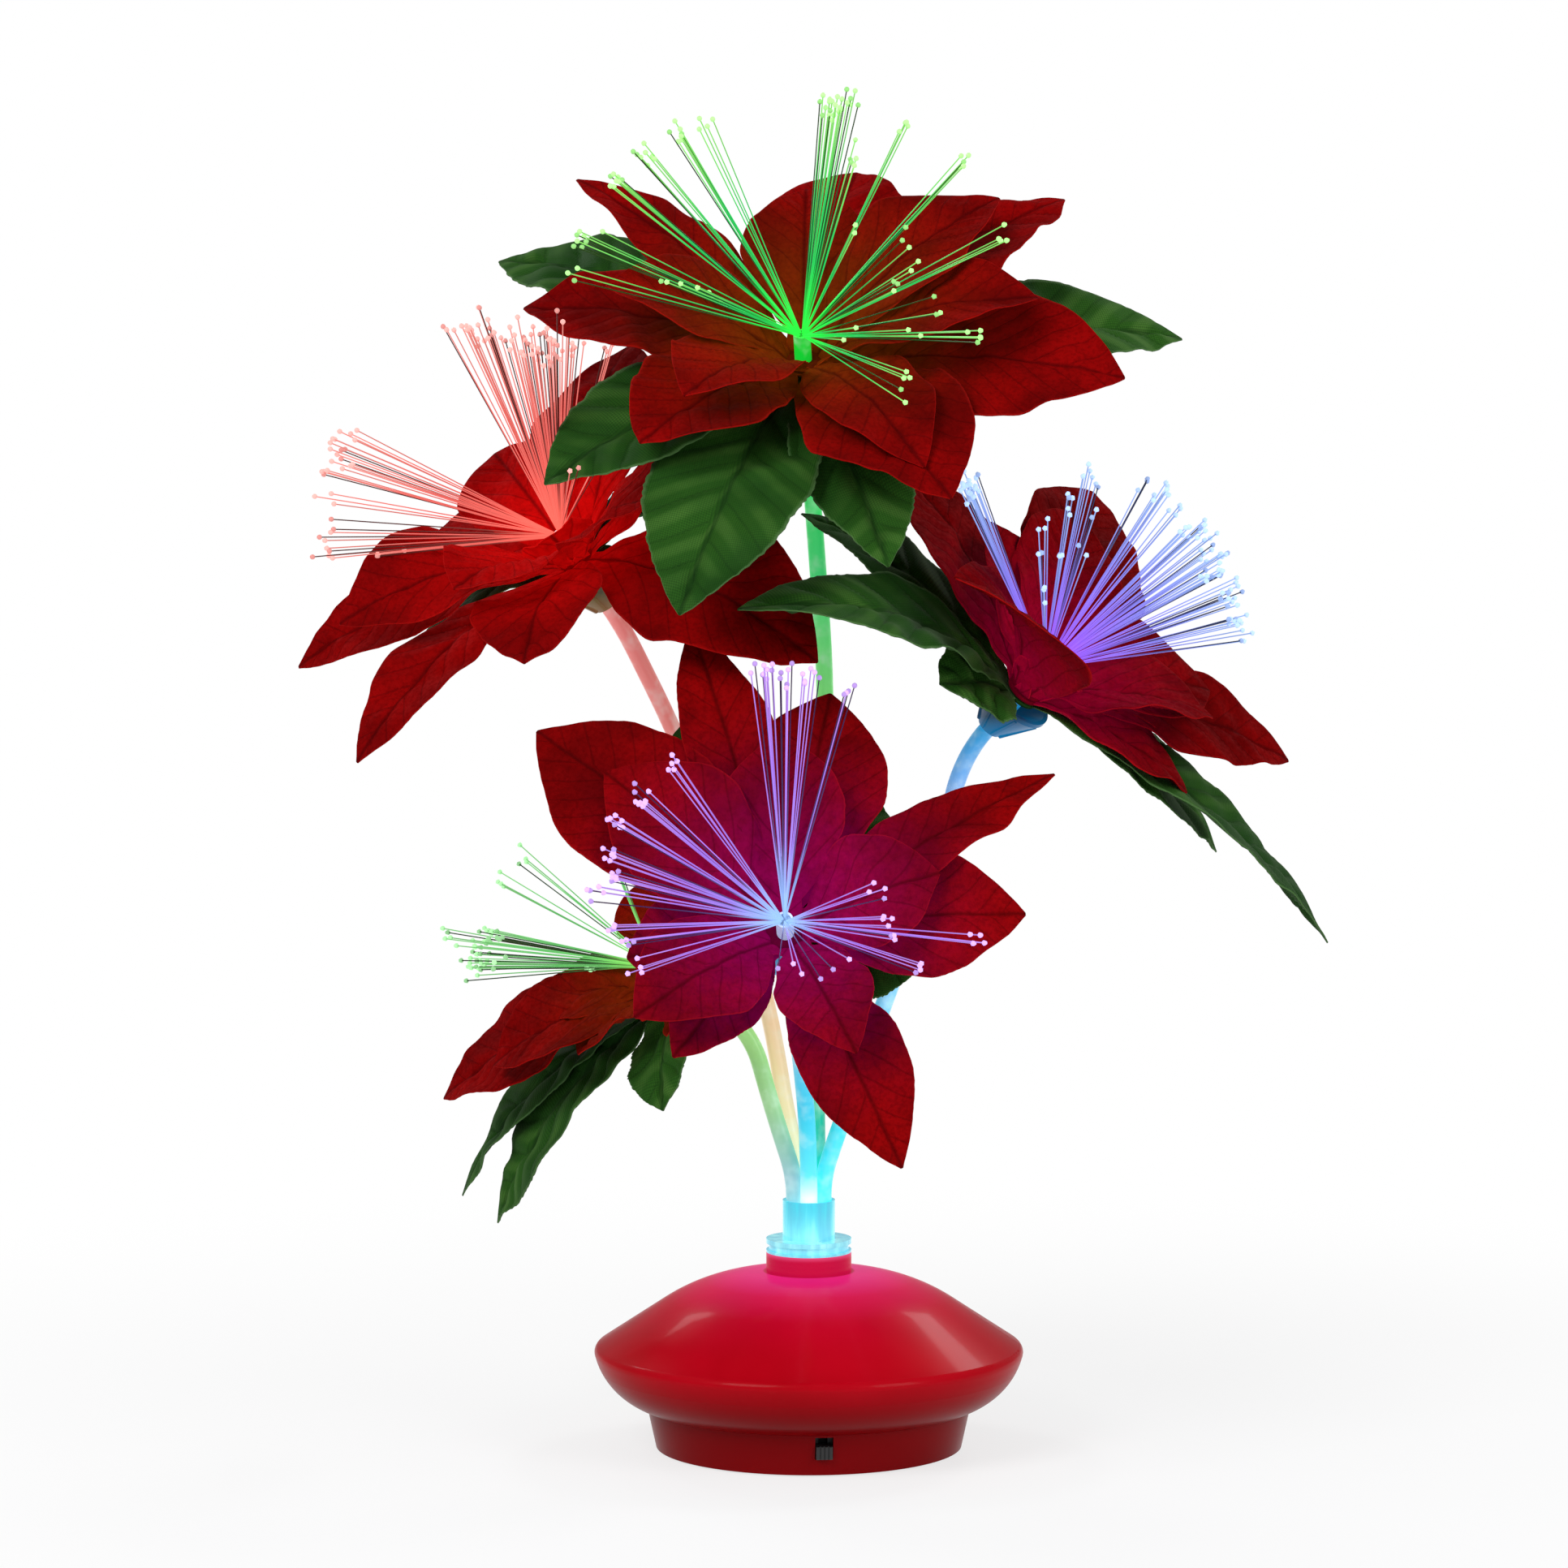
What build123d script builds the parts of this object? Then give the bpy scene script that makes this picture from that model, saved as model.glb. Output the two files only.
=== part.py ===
from build123d import *
import math
import os

# Fiber optic flower light: a round battery base whose coloured lamps shine up through a
# bundle of plastic stem tubes into the fibre sprays of five velvet flowers.
# Millimetres, +Z up. The origin is the centre of the flat underside of the base, and the
# switch is on the front, towards -Y.

os.makedirs("parts", exist_ok=True)

# Base shells
FOOT_R = 39.5
FOOT_SHOULDER_R = 41.8
FOOT_H = 10.5
SKIRT_R = 50.5
SKIRT_Z = 15.5
RIM_R = 55.2
RIM_Z = 23.7
SEAM_Z = 20.0
DOME_TOP = 45.5
RIM_EDGE_H = 1.9
RIM_EDGE_SHARE = 0.83
SHOULDER_R = 27.8
SHOULDER_Z = 44.0
SHOULDER_SHARE = 0.75
COLLAR_R = 11.0
COLLAR_TOP = 50.5
COLLAR_BORE_R = 9.7
WALL = 2.0

# Running and seating gaps
RUNNING_GAP = 0.05
SEAT_GAP = 0.3

# Battery bay and its door
CELL_R = 7.25
CELL_L = 50.5
CELL_NUB_R = 2.75
CELL_NUB_L = 1.0
CELL_EDGE_R = 0.5
CELL_COUNT = 3
CELL_SPACING = 15.1
SPRING_L = 5.0
SPRING_WIRE = 0.6
SPRING_FOOT_SHARE = 0.72
SPRING_TAPER_SHARE = 0.34
SPRING_BORE_SHARE = 0.2
CONTACT_T = 0.5
CONTACT_W = 10.0
BAY_WALL = 1.2
DOOR_T = 2.0
DOOR_EDGE_PAST_HINGE = 1.0
DOOR_CORNER_R = 4.0
HINGE_BARREL_R = 1.6
HINGE_PIN_R = 1.2
HINGE_PIN_L = 2.4
HINGE_KNUCKLE_L = 12.0
LATCH_TAB_T = 0.7
LATCH_TAB_W = 3.6
LATCH_TAB_H = 2.2
FINGER_NOTCH_R = 7.0
FINGER_NOTCH_D = 0.8

# Case screws
CASE_SCREW_X = 16.0
CASE_SCREW_Y = 29.0
POST_R = 3.4
SCREW_R = 1.25
SCREW_HEAD_R = 2.4
SCREW_HEAD_T = 1.6
SCREW_L = 16.0
SCREW_RECESS = 12.0
CROSS_SLOT_W = 0.6
CROSS_SLOT_D = 0.7

# Slide switch
SWITCH_X = 3.7
SLOT_LOW = 4.2
KNOB_W = 4.2
KNOB_H = 3.4
KNOB_TRAVEL = 2.0
KNOB_PROUD = 1.3
KNOB_EDGE_R = 0.3
KNOB_ROOT = 0.5
KNOB_GROOVES = 3
KNOB_GROOVE_W = 0.35
KNOB_GROOVE_D = 0.4
SLOT_CLEARANCE = 0.2
SWITCH_BODY_W = 9.0
SWITCH_BODY_D = 5.0
SWITCH_BODY_H = 11.0
SWITCH_FACE_T = 1.0
SWITCH_SHANK = 2.0
SWITCH_RIB_T = 1.2
SWITCH_RIB_H = 7.0
TERMINAL_W = 1.2
TERMINAL_T = 0.5
TERMINAL_L = 1.5
TERMINAL_Z = 6.5
TERMINAL_PITCH = 3.0

# Lamp board
BOARD_Z = 28.0
BOARD_T = 1.6
BOARD_R = 17.0
BOARD_SCREW_X = 13.0
BOARD_SCREW_R = 0.9
BOARD_SCREW_HEAD_R = 1.8
BOARD_SCREW_HEAD_T = 1.2
BOARD_SCREW_L = 7.0
BOARD_SCREW_SLOT = 0.4
BOARD_POST_R = 2.6
LED_R = 1.5
LED_FLANGE_R = 1.9
LED_FLANGE_T = 1.0
LED_H = 5.3
LIGHT_CUP_R = 9.0
LIGHT_CUP_WALL = 1.0
CHIP_SIZE = (6.0, 5.0, 1.6)
RESISTOR_SIZE = (3.2, 1.6, 0.7)
WIRE_R = 0.6
WIRE_TAIL = 1.0
WIRE_RISE = 5.0
WIRE_DROP = 4.0
WIRE_SWING = (8.0, 6.0, 3.0)
SWITCH_WIRE_SWING = (-4.0, 3.0, -0.5)
WIRE_LAND_SHARE = 0.6
WIRE_LAND_ANGLE = 53.13

# Neck: clear plug in the collar, and the clear sleeve that holds the stems
PLUG_SEAT_Z = 41.5
PLUG_LIP_R = 11.0
PLUG_LIP_T = 1.2
PLUG_GROOVE_R = 10.3
PLUG_TOP = 54.0
PLUG_LEDGE_T = 1.5
LIGHT_HOLE_R = 5.2
SLEEVE_WALL = 0.6
SLEEVE_TOP = 64.0

# Stems and fibres
STEM_R = 2.2
STEM_WALL = 0.5
STEM_RING_R = 3.85
FIT_GAP = 0.1
STEM_PAST_HUB = 9.5
STEM_RISE = 70.0
SPRAY_DISC_R = 2.6
SPRAY_DISC_T = 1.0
STRANDS = 64
STRAND_W = 0.32
STRAND_L = 60.0
STRAND_L_SPREAD = 3.0
STRAND_MAX_TILT = 74.0
STRAND_GATHER = 0.8
STRAND_L_RATE = 2.4
GOLDEN_ANGLE = 137.508
ARC_SHARE = 0.45

# Flower layers, by height along the flower's axis from its hub
HUB_DISC_R = 4.6
HUB_DISC_T = 1.0
LAYER_STEP = 1.4
PETAL_ROOT_R = 4.0
PETAL_ROOT_W = 4.8
PETAL_T = 0.7
PETAL_EDGE_T = 0.4
PETAL_BOW = {"leaves": 0.08, "outer": 0.08, "inner": 0.10}
PETAL_CUP = {"leaves": 0.10, "outer": 0.10, "inner": 0.16}
PETAL_WIDEST = 1.15
PETAL_FULLNESS = 0.85
PETAL_STATIONS = (0.0, 0.14, 0.34, 0.55, 0.76, 0.92, 0.985)
CALYX_H = 12.0
CALYX_TOP_R = 9.6
CALYX_WALL = 1.2
CALYX_RIBS = 8
CALYX_RIB_T = 0.8
CALYX_RIB_H = 0.9
CALYX_RIB_SINK = 0.6
CALYX_RIB_MARGIN = 0.5

# Each flower: hub, axis, stem route above the sleeve, petals, leaves and fibre clumps.
# A petal is (azimuth, tilt from the axis, length, width, roll, bow), in degrees and mm,
# with bow as a share of the length; the last two are optional. A clump is (azimuth, tilt).
FLOWERS = {
    "top": {
        "hub": (-1.4, 2.0, 278.5),
        "axis": (-0.05, -0.52, 0.85),
        "ring_angle": 54,
        "route": [(1.5, 9.0, 120.0), (4.8, 19.0, 192.0), (1.6, 19.5, 236.0)],
        "approach": 22.0,
        "outer": [
            (136, 73, 84, 20),
            (80, 85, 84, 42),
            (33, 77, 84, 42, -8),
            (345, 86, 84, 48, 14, 0.06),
            (298, 88, 77, 44),
            (229, 82, 62, 42),
            (164, 84, 75, 40),
        ],
        "inner": [
            (88, 70, 56, 32),
            (31, 66, 66, 36),
            (352, 71, 64, 36),
            (297, 86, 66, 30),
            (237, 70, 56, 34),
            (174, 66, 54, 34),
        ],
        "leaves": [
            (141, 92, 104, 38),
            (12, 95, 100, 40),
            (210, 95, 76, 40),
            (249, 101, 90, 43),
            (286, 101, 74, 30),
        ],
        "clumps": [
            (157, 52), (172, 62), (144, 34), (62, 28), (78, 52), (312, 44), (318, 68),
            (300, 62), (296, 78), (240, 48),
        ],
    },
    "left": {
        "hub": (-59.5, 12.0, 228.0),
        "axis": (-0.52, -0.33, 0.79),
        "ring_angle": 126,
        "route": [(-5.5, 9.0, 84.0), (-10.0, 17.0, 110.0), (-20.0, 25.0, 145.0),
                  (-34.7, 27.0, 182.7)],
        "approach": 22.0,
        "outer": [
            (74, 79, 84, 40),
            (10, 88, 60, 36),
            (318, 120, 76, 44, 0, 0.14),
            (258, 86, 55, 36, -22),
            (222, 88, 83, 25, -24),
            (174, 84, 82, 26, -34),
            (126, 82, 62, 38),
        ],
        "inner": [
            (108, 66, 49, 34),
            (40, 70, 54, 32),
            (318, 72, 50, 34),
            (203, 68, 64, 34, -40),
            (236, 62, 44, 34, -30),
        ],
        "leaves": [
            (104, 99, 70, 36),
            (42, 101, 56, 34),
            (150, 98, 66, 34),
        ],
        "clumps": [
            (88, 36), (78, 52), (70, 60), (338, 24), (20, 14), (294, 72), (168, 34),
            (180, 50), (194, 48), (240, 44),
        ],
    },
    "right": {
        "hub": (54.8, -6.0, 196.0),
        "axis": (0.60, -0.42, 0.68),
        "ring_angle": 342,
        "route": [(7.0, 0.0, 80.0), (20.8, 3.0, 118.7), (34.0, 5.0, 153.0)],
        "approach": 26.0,
        "outer": [
            (133, 82, 68, 42),
            (81, 78, 84, 40),
            (30, 84, 66, 36),
            (14, 81, 82, 28, 14),
            (338, 79, 49, 28, -10),
        ],
        "inner": [
            (200, 62, 52, 44, 30),
            (90, 68, 58, 34),
            (128, 66, 44, 28),
            (22, 72, 54, 34),
            (355, 62, 48, 38, -20),
        ],
        "leaves": [
            (193, 98, 84, 30, 25, 0.15),
            (148, 98, 74, 28),
            (214, 90, 32, 28),
            (347, 91, 104, 34, -24),
            (8, 101, 80, 30),
        ],
        "clumps": [
            (176, 56), (92, 60), (205, 36), (77, 44), (57, 54), (40, 60), (24, 52), (235, 46),
            (304, 22), (128, 48),
        ],
    },
    "front": {
        "hub": (-6.0, -48.0, 138.0),
        "axis": (-0.03, -0.86, 0.50),
        "ring_angle": 270,
        "route": [(-0.5, -8.0, 86.0), (-2.5, -17.5, 107.0)],
        "approach": 22.0,
        "outer": [
            (139, 86, 83, 40),
            (106, 85, 86, 24),
            (80, 87, 66, 38),
            (31, 86, 79, 22, -34),
            (2, 84, 60, 34),
            (294, 87, 70, 27),
            (232, 82, 45, 22),
            (190, 86, 40, 32),
        ],
        "inner": [
            (141, 72, 60, 36),
            (91, 72, 50, 32),
            (14, 71, 42, 32),
            (294, 68, 47, 24),
            (220, 68, 51, 31),
        ],
        "leaves": [
            (112, 105, 76, 34),
            (66, 104, 52, 30),
            (184, 102, 36, 26),
            (350, 102, 34, 26),
        ],
        "clumps": [
            (94, 58), (83, 60), (70, 60), (144, 32), (172, 44), (200, 50), (322, 34),
            (338, 56), (298, 38), (276, 40), (222, 52),
        ],
    },
    "low": {
        "hub": (-33.0, 2.0, 120.0),
        "axis": (-0.74, -0.38, 0.55),
        "ring_angle": 198,
        "route": [(-9.0, 3.0, 86.0)],
        "approach": 24.0,
        "outer": [
            (172, 81, 82, 32),
            (90, 86, 38, 26),
            (60, 84, 34, 26),
            (300, 84, 34, 24),
            (350, 86, 46, 32),
        ],
        "inner": [
            (186, 70, 54, 34),
            (170, 66, 38, 22),
            (84, 72, 36, 26),
            (222, 66, 33, 24),
            (306, 72, 42, 28),
        ],
        "leaves": [
            (187, 98, 90, 36),
            (175, 96, 103, 18),
            (248, 98, 36, 26),
            (92, 102, 42, 24),
        ],
        "clumps": [
            (145, 62), (158, 66), (122, 58), (280, 16), (262, 36), (228, 44), (70, 44), (20, 30),
        ],
    },
}

# Sizes that follow from the ones above
BAY_HALF_L = (CELL_L + SPRING_L) / 2 + CONTACT_T
BAY_HALF_W = ((CELL_COUNT - 1) * CELL_SPACING) / 2 + CELL_R + SEAT_GAP
CELL_Z = DOOR_T + SEAT_GAP + CELL_R
BAY_TOP = CELL_Z + CELL_R + SEAT_GAP
HINGE_X = -BAY_HALF_L + SEAT_GAP
HINGE_Z = DOOR_T
DOOR_HALF_W = BAY_HALF_W - SEAT_GAP
DOOR_END = BAY_HALF_L + 2 * SEAT_GAP
SWING_R = math.hypot(DOOR_EDGE_PAST_HINGE, HINGE_Z) + 2 * SEAT_GAP
SLOT_H = KNOB_H + KNOB_TRAVEL + 2 * SLOT_CLEARANCE
KNOB_Z = SLOT_LOW + SLOT_CLEARANCE + KNOB_H / 2
SLEEVE_IN_R = STEM_RING_R + STEM_R + FIT_GAP
SLEEVE_R = SLEEVE_IN_R + SLEEVE_WALL
STEM_FOOT = PLUG_SEAT_Z + PLUG_LEDGE_T
STEM_IN_R = STEM_R - STEM_WALL
BUNDLE_R = STEM_IN_R - FIT_GAP
BOARD_TOP = BOARD_Z + BOARD_T
LAYER_HEIGHT = {"leaves": -LAYER_STEP, "outer": 0.0, "inner": LAYER_STEP}


def write(name, shape):
    """Save one sub-part as parts/NAME.step."""
    export_step(shape, "parts/" + name + ".step")


def disc(radius, low, high, x=0.0, y=0.0):
    """Upright cylinder between two heights."""
    return Pos(x, y, (low + high) / 2) * Cylinder(radius, high - low)


def block(x0, x1, y0, y1, z0, z1):
    """Box between two corners."""
    centre = Pos((x0 + x1) / 2, (y0 + y1) / 2, (z0 + z1) / 2)
    return centre * Box(x1 - x0, y1 - y0, z1 - z0)


def rod_y(radius, x, z, y0, y1):
    """Cylinder along Y."""
    return Pos(x, (y0 + y1) / 2, z) * Rot(90, 0, 0) * Cylinder(radius, y1 - y0)


def rod_x(radius, y, z, x0, x1):
    """Cylinder along X."""
    return Pos((x0 + x1) / 2, y, z) * Rot(0, 90, 0) * Cylinder(radius, x1 - x0)


# Base shells

def foot_radius(z):
    """Outer radius of the tapered foot at a height."""
    return FOOT_R + (FOOT_SHOULDER_R - FOOT_R) * z / FOOT_H


def corner_radius(before, corner, after, share):
    """Radius of the arc at a corner that takes up a share of its shorter leg."""
    first = corner - before
    second = after - corner
    turn = math.radians(first.get_angle(second))
    return share * min(first.length, second.length) / math.tan(turn / 2)


def base_section():
    """Half section of the base's outside, filled to the axis."""
    skirt = ThreePointArc((FOOT_SHOULDER_R, FOOT_H), (SKIRT_R, SKIRT_Z), (RIM_R, RIM_Z))
    rim = Vector(RIM_R, RIM_Z)
    edge = rim + (skirt % 1) * RIM_EDGE_H
    shoulder = Vector(SHOULDER_R, SHOULDER_Z)
    neck = Vector(COLLAR_R, DOME_TOP)
    edge_round = corner_radius(rim, edge, shoulder, RIM_EDGE_SHARE)
    shoulder_round = corner_radius(edge, shoulder, neck, SHOULDER_SHARE)
    dome = FilletPolyline(rim, edge, shoulder, neck, radius=[edge_round, shoulder_round])
    below = Polyline((0, COLLAR_TOP), (0, 0), (FOOT_R, 0), (FOOT_SHOULDER_R, FOOT_H))
    above = Polyline((COLLAR_R, DOME_TOP), (COLLAR_R, COLLAR_TOP), (0, COLLAR_TOP))
    return make_face([below, skirt, dome, above])


def turned(section):
    """Solid of revolution of an (r, z) section about the Z axis."""
    return revolve(Plane.XZ * section, Axis.Z)


def inside_section():
    """The base's section drawn in by the wall, as half of the whole mirrored outline."""
    half = base_section()
    whole = half + mirror(half, about=Plane.YZ)
    right_half = Pos(RIM_R / 2, COLLAR_TOP / 2) * Rectangle(RIM_R, 2 * COLLAR_TOP)
    return offset(whole, -WALL) & right_half


def wall_between(low, high):
    """The base's wall between two heights, turned from its own section."""
    band = Pos(RIM_R / 2, (low + high) / 2) * Rectangle(RIM_R + 2 * WALL, high - low)
    return turned((base_section() - inside_section()) & band)


BASE_OUTSIDE = turned(base_section())
CASE_SCREWS = [
    (CASE_SCREW_X * sx, CASE_SCREW_Y * sy) for sx in (-1, 1) for sy in (-1, 1)
]
BOARD_SCREWS = [(-BOARD_SCREW_X, 0.0), (BOARD_SCREW_X, 0.0)]


def make_upper_shell():
    """Domed cover with the neck collar, case screw posts and lamp board posts."""
    shell = wall_between(SEAM_Z, COLLAR_TOP + WALL)
    posts = [disc(POST_R, SEAM_Z, DOME_TOP, x, y) for x, y in CASE_SCREWS]
    posts += [disc(BOARD_POST_R, BOARD_TOP, DOME_TOP, x, y) for x, y in BOARD_SCREWS]
    shell = shell + [post & BASE_OUTSIDE for post in posts]
    bore = disc(COLLAR_BORE_R, BOARD_TOP, COLLAR_TOP + WALL)
    pilot_top = SCREW_RECESS + SCREW_L + SEAT_GAP
    pilots = [disc(SCREW_R + RUNNING_GAP, SEAM_Z, pilot_top, x, y) for x, y in CASE_SCREWS]
    board_pilot_top = BOARD_Z + BOARD_SCREW_L + SEAT_GAP
    pilots += [
        disc(BOARD_SCREW_R + RUNNING_GAP, BOARD_TOP, board_pilot_top, x, y)
        for x, y in BOARD_SCREWS
    ]
    return shell - bore - pilots


def switch_place():
    """Frame of the switch: origin on the base's axis, turned so that -Y faces the slot."""
    wall_r = foot_radius(KNOB_Z)
    return Rot(0, 0, math.degrees(math.asin(SWITCH_X / wall_r)))


def switch_front():
    """Distance from the axis to the flat front of the switch body, behind the foot's narrower end."""
    inside = min(foot_radius(WALL), FOOT_SHOULDER_R) - WALL
    return math.sqrt(inside ** 2 - (SWITCH_BODY_W / 2) ** 2) - SEAT_GAP


def make_lower_shell():
    """Foot and skirt with the battery bay, hinge ears, screw posts and switch ribs."""
    shell = wall_between(-WALL, SEAM_Z)
    out_l = BAY_HALF_L + BAY_WALL
    out_w = BAY_HALF_W + BAY_WALL
    bay = block(-out_l, out_l, -out_w, out_w, WALL, BAY_TOP + BAY_WALL)
    ear_r = 2 * HINGE_BARREL_R
    ear_y = DOOR_HALF_W + SEAT_GAP + HINGE_PIN_L + BAY_WALL
    ears = block(
        HINGE_X - ear_r / 2, HINGE_X + ear_r, -ear_y, ear_y, 0, HINGE_Z + HINGE_BARREL_R + BAY_WALL
    )
    posts = [disc(POST_R, 0, SEAM_Z, x, y) for x, y in CASE_SCREWS]
    ribs = []
    rib_x = SWITCH_BODY_W / 2 + RUNNING_GAP
    front = switch_front()
    for side in (-1, 1):
        inner = side * rib_x
        outer = side * (rib_x + SWITCH_RIB_T)
        rib = block(
            min(inner, outer), max(inner, outer), -FOOT_SHOULDER_R, SWITCH_BODY_D - front,
            0, WALL + SWITCH_RIB_H,
        )
        ribs.append(switch_place() * rib)
    shell = shell + [(piece & BASE_OUTSIDE) for piece in [bay, ears] + posts + ribs]
    hollow = block(-BAY_HALF_L, BAY_HALF_L, -BAY_HALF_W, BAY_HALF_W, 0, BAY_TOP)
    mouth_w = DOOR_HALF_W + SEAT_GAP
    mouth = block(HINGE_X, DOOR_END + SEAT_GAP, -mouth_w, mouth_w, -1, DOOR_T + RUNNING_GAP)
    swing = rod_y(SWING_R, HINGE_X, HINGE_Z, -mouth_w, mouth_w)
    pin_reach = DOOR_HALF_W + HINGE_PIN_L + SEAT_GAP
    pins = rod_y(HINGE_PIN_R + RUNNING_GAP, HINGE_X, HINGE_Z, -pin_reach, pin_reach)
    slot_w = KNOB_W + 2 * SLOT_CLEARANCE
    slot = block(-slot_w / 2, slot_w / 2, -RIM_R, -front, SLOT_LOW, SLOT_LOW + SLOT_H)
    shell = shell - [hollow, mouth, swing, pins, switch_place() * slot]
    for x, y in CASE_SCREWS:
        shell = shell - disc(SCREW_HEAD_R + SEAT_GAP, -1, SCREW_RECESS, x, y)
        shell = shell - disc(SCREW_R + SEAT_GAP, -1, SEAM_Z + 1, x, y)
    for x, y in wire_taps():
        shell = shell - disc(WIRE_R + SEAT_GAP, BAY_TOP - 1, BAY_TOP + BAY_WALL + 1, x, y)
    return shell


def make_case_screws():
    """Four pan-head screws, driven up through the foot's posts."""
    screws = []
    for x, y in CASE_SCREWS:
        head = disc(SCREW_HEAD_R, SCREW_RECESS - SCREW_HEAD_T, SCREW_RECESS, x, y)
        shank = disc(SCREW_R, SCREW_RECESS - SCREW_HEAD_T / 2, SCREW_RECESS + SCREW_L, x, y)
        low = SCREW_RECESS - SCREW_HEAD_T
        reach = SCREW_HEAD_R / 2
        half = CROSS_SLOT_W / 2
        cross = block(-reach, reach, -half, half, low, low + CROSS_SLOT_D)
        cross += Rot(0, 0, 90) * cross
        screws.append((head + shank) - Pos(x, y, 0) * cross)
    return Compound(children=screws)


# Battery bay

def cell_rows():
    """Y of each cell, and +1 where its button faces +X."""
    first = -(CELL_COUNT - 1) / 2
    return [((first + i) * CELL_SPACING, 1 if i % 2 == 0 else -1) for i in range(CELL_COUNT)]


def make_battery_cells():
    """Penlight cells, laid head to tail."""
    cells = []
    for y, way in cell_rows():
        tip = way * (BAY_HALF_L - CONTACT_T)
        shoulder = tip - way * CELL_NUB_L
        foot = tip - way * CELL_L
        body = rod_x(CELL_R, y, CELL_Z, min(shoulder, foot), max(shoulder, foot))
        body = fillet(body.edges(), CELL_EDGE_R)
        inside = shoulder - way * CELL_NUB_L
        nub = rod_x(CELL_NUB_R, y, CELL_Z, min(inside, tip), max(inside, tip))
        cells.append(body + nub)
    return Compound(children=cells)


def make_contact_springs():
    """Cone springs at the flat ends of the cells, as stepped cones."""
    springs = []
    for y, way in cell_rows():
        wall = -way * (BAY_HALF_L - CONTACT_T)
        cell_end = wall + way * SPRING_L
        turns = int(SPRING_L / (2 * SPRING_WIRE))
        pitch = SPRING_L / turns
        spring = None
        for turn in range(turns):
            radius = CELL_R * (SPRING_FOOT_SHARE - SPRING_TAPER_SHARE * turn / turns)
            start = wall + way * pitch * turn
            end = cell_end if turn == turns - 1 else start + way * pitch
            step = rod_x(radius, y, CELL_Z, min(start, end), max(start, end))
            spring = step if spring is None else spring + step
        bore_r = CELL_R * SPRING_BORE_SHARE
        bore = rod_x(bore_r, y, CELL_Z, min(wall, cell_end) - 1, max(wall, cell_end) + 1)
        springs.append(spring - bore)
    return Compound(children=springs)


def make_contact_plates():
    """Steel contact plates, each joining two neighbouring cells, and one at each end of the row."""
    plates = []
    low = CELL_Z - CONTACT_W / 2
    rows = [y for y, _ in cell_rows()]
    for side in (-1, 1):
        wall = side * BAY_HALF_L
        face = side * (BAY_HALF_L - CONTACT_T)
        ends = rows[::-1] if side < 0 else rows
        pairs = [ends[i:i + 2] for i in range(0, len(ends), 2)]
        for pair in pairs:
            y0 = min(pair) - CONTACT_W / 2
            y1 = max(pair) + CONTACT_W / 2
            plates.append(block(min(wall, face), max(wall, face), y0, y1, low, BAY_TOP))
    return Compound(children=plates)


def make_battery_door():
    """Door of the battery bay, with its hinge knuckles and pins, latch tabs and finger notch."""
    plate = block(
        HINGE_X - DOOR_EDGE_PAST_HINGE, DOOR_END, -DOOR_HALF_W, DOOR_HALF_W, 0, DOOR_T
    )
    plate = fillet(plate.edges().filter_by(Axis.Z).group_by(Axis.X)[-1], DOOR_CORNER_R)
    knuckle_y = DOOR_HALF_W - HINGE_KNUCKLE_L
    knuckles = [
        rod_y(HINGE_BARREL_R, HINGE_X, HINGE_Z, knuckle_y, DOOR_HALF_W),
        rod_y(HINGE_BARREL_R, HINGE_X, HINGE_Z, -DOOR_HALF_W, -knuckle_y),
    ]
    reach = DOOR_HALF_W + HINGE_PIN_L
    pins = [
        rod_y(HINGE_PIN_R, HINGE_X, HINGE_Z, knuckle_y, reach),
        rod_y(HINGE_PIN_R, HINGE_X, HINGE_Z, -reach, -knuckle_y),
    ]
    tab_x = BAY_HALF_L - 2 * SEAT_GAP
    tabs = []
    for side in (-1, 1):
        y = side * CELL_SPACING / 2
        tabs.append(
            block(
                tab_x - LATCH_TAB_T, tab_x, y - LATCH_TAB_W / 2, y + LATCH_TAB_W / 2,
                DOOR_T / 2, DOOR_T + LATCH_TAB_H,
            )
        )
    notch = disc(FINGER_NOTCH_R, -1, FINGER_NOTCH_D, DOOR_END, 0)
    return (plate + knuckles + pins + tabs) - notch


# Slide switch

def make_switch_body():
    """Switch housing behind the foot's wall, open in front for the knob's shank."""
    front = switch_front()
    half = SWITCH_BODY_W / 2
    body = block(-half, half, -front, SWITCH_BODY_D - front, WALL, WALL + SWITCH_BODY_H)
    shank = SWITCH_SHANK / 2 + SLOT_CLEARANCE
    way = block(
        -shank, shank, -front - 1, SWITCH_BODY_D - front - SWITCH_FACE_T,
        KNOB_Z - shank, KNOB_Z + shank + KNOB_TRAVEL,
    )
    back = SWITCH_BODY_D - front
    half = TERMINAL_W / 2
    terminals = [
        block(-half, half, back - SEAT_GAP, back + TERMINAL_L, z - TERMINAL_T, z)
        for z in (WALL + TERMINAL_Z - TERMINAL_PITCH, WALL + TERMINAL_Z)
    ]
    return switch_place() * ((body - way) + terminals)


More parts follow.
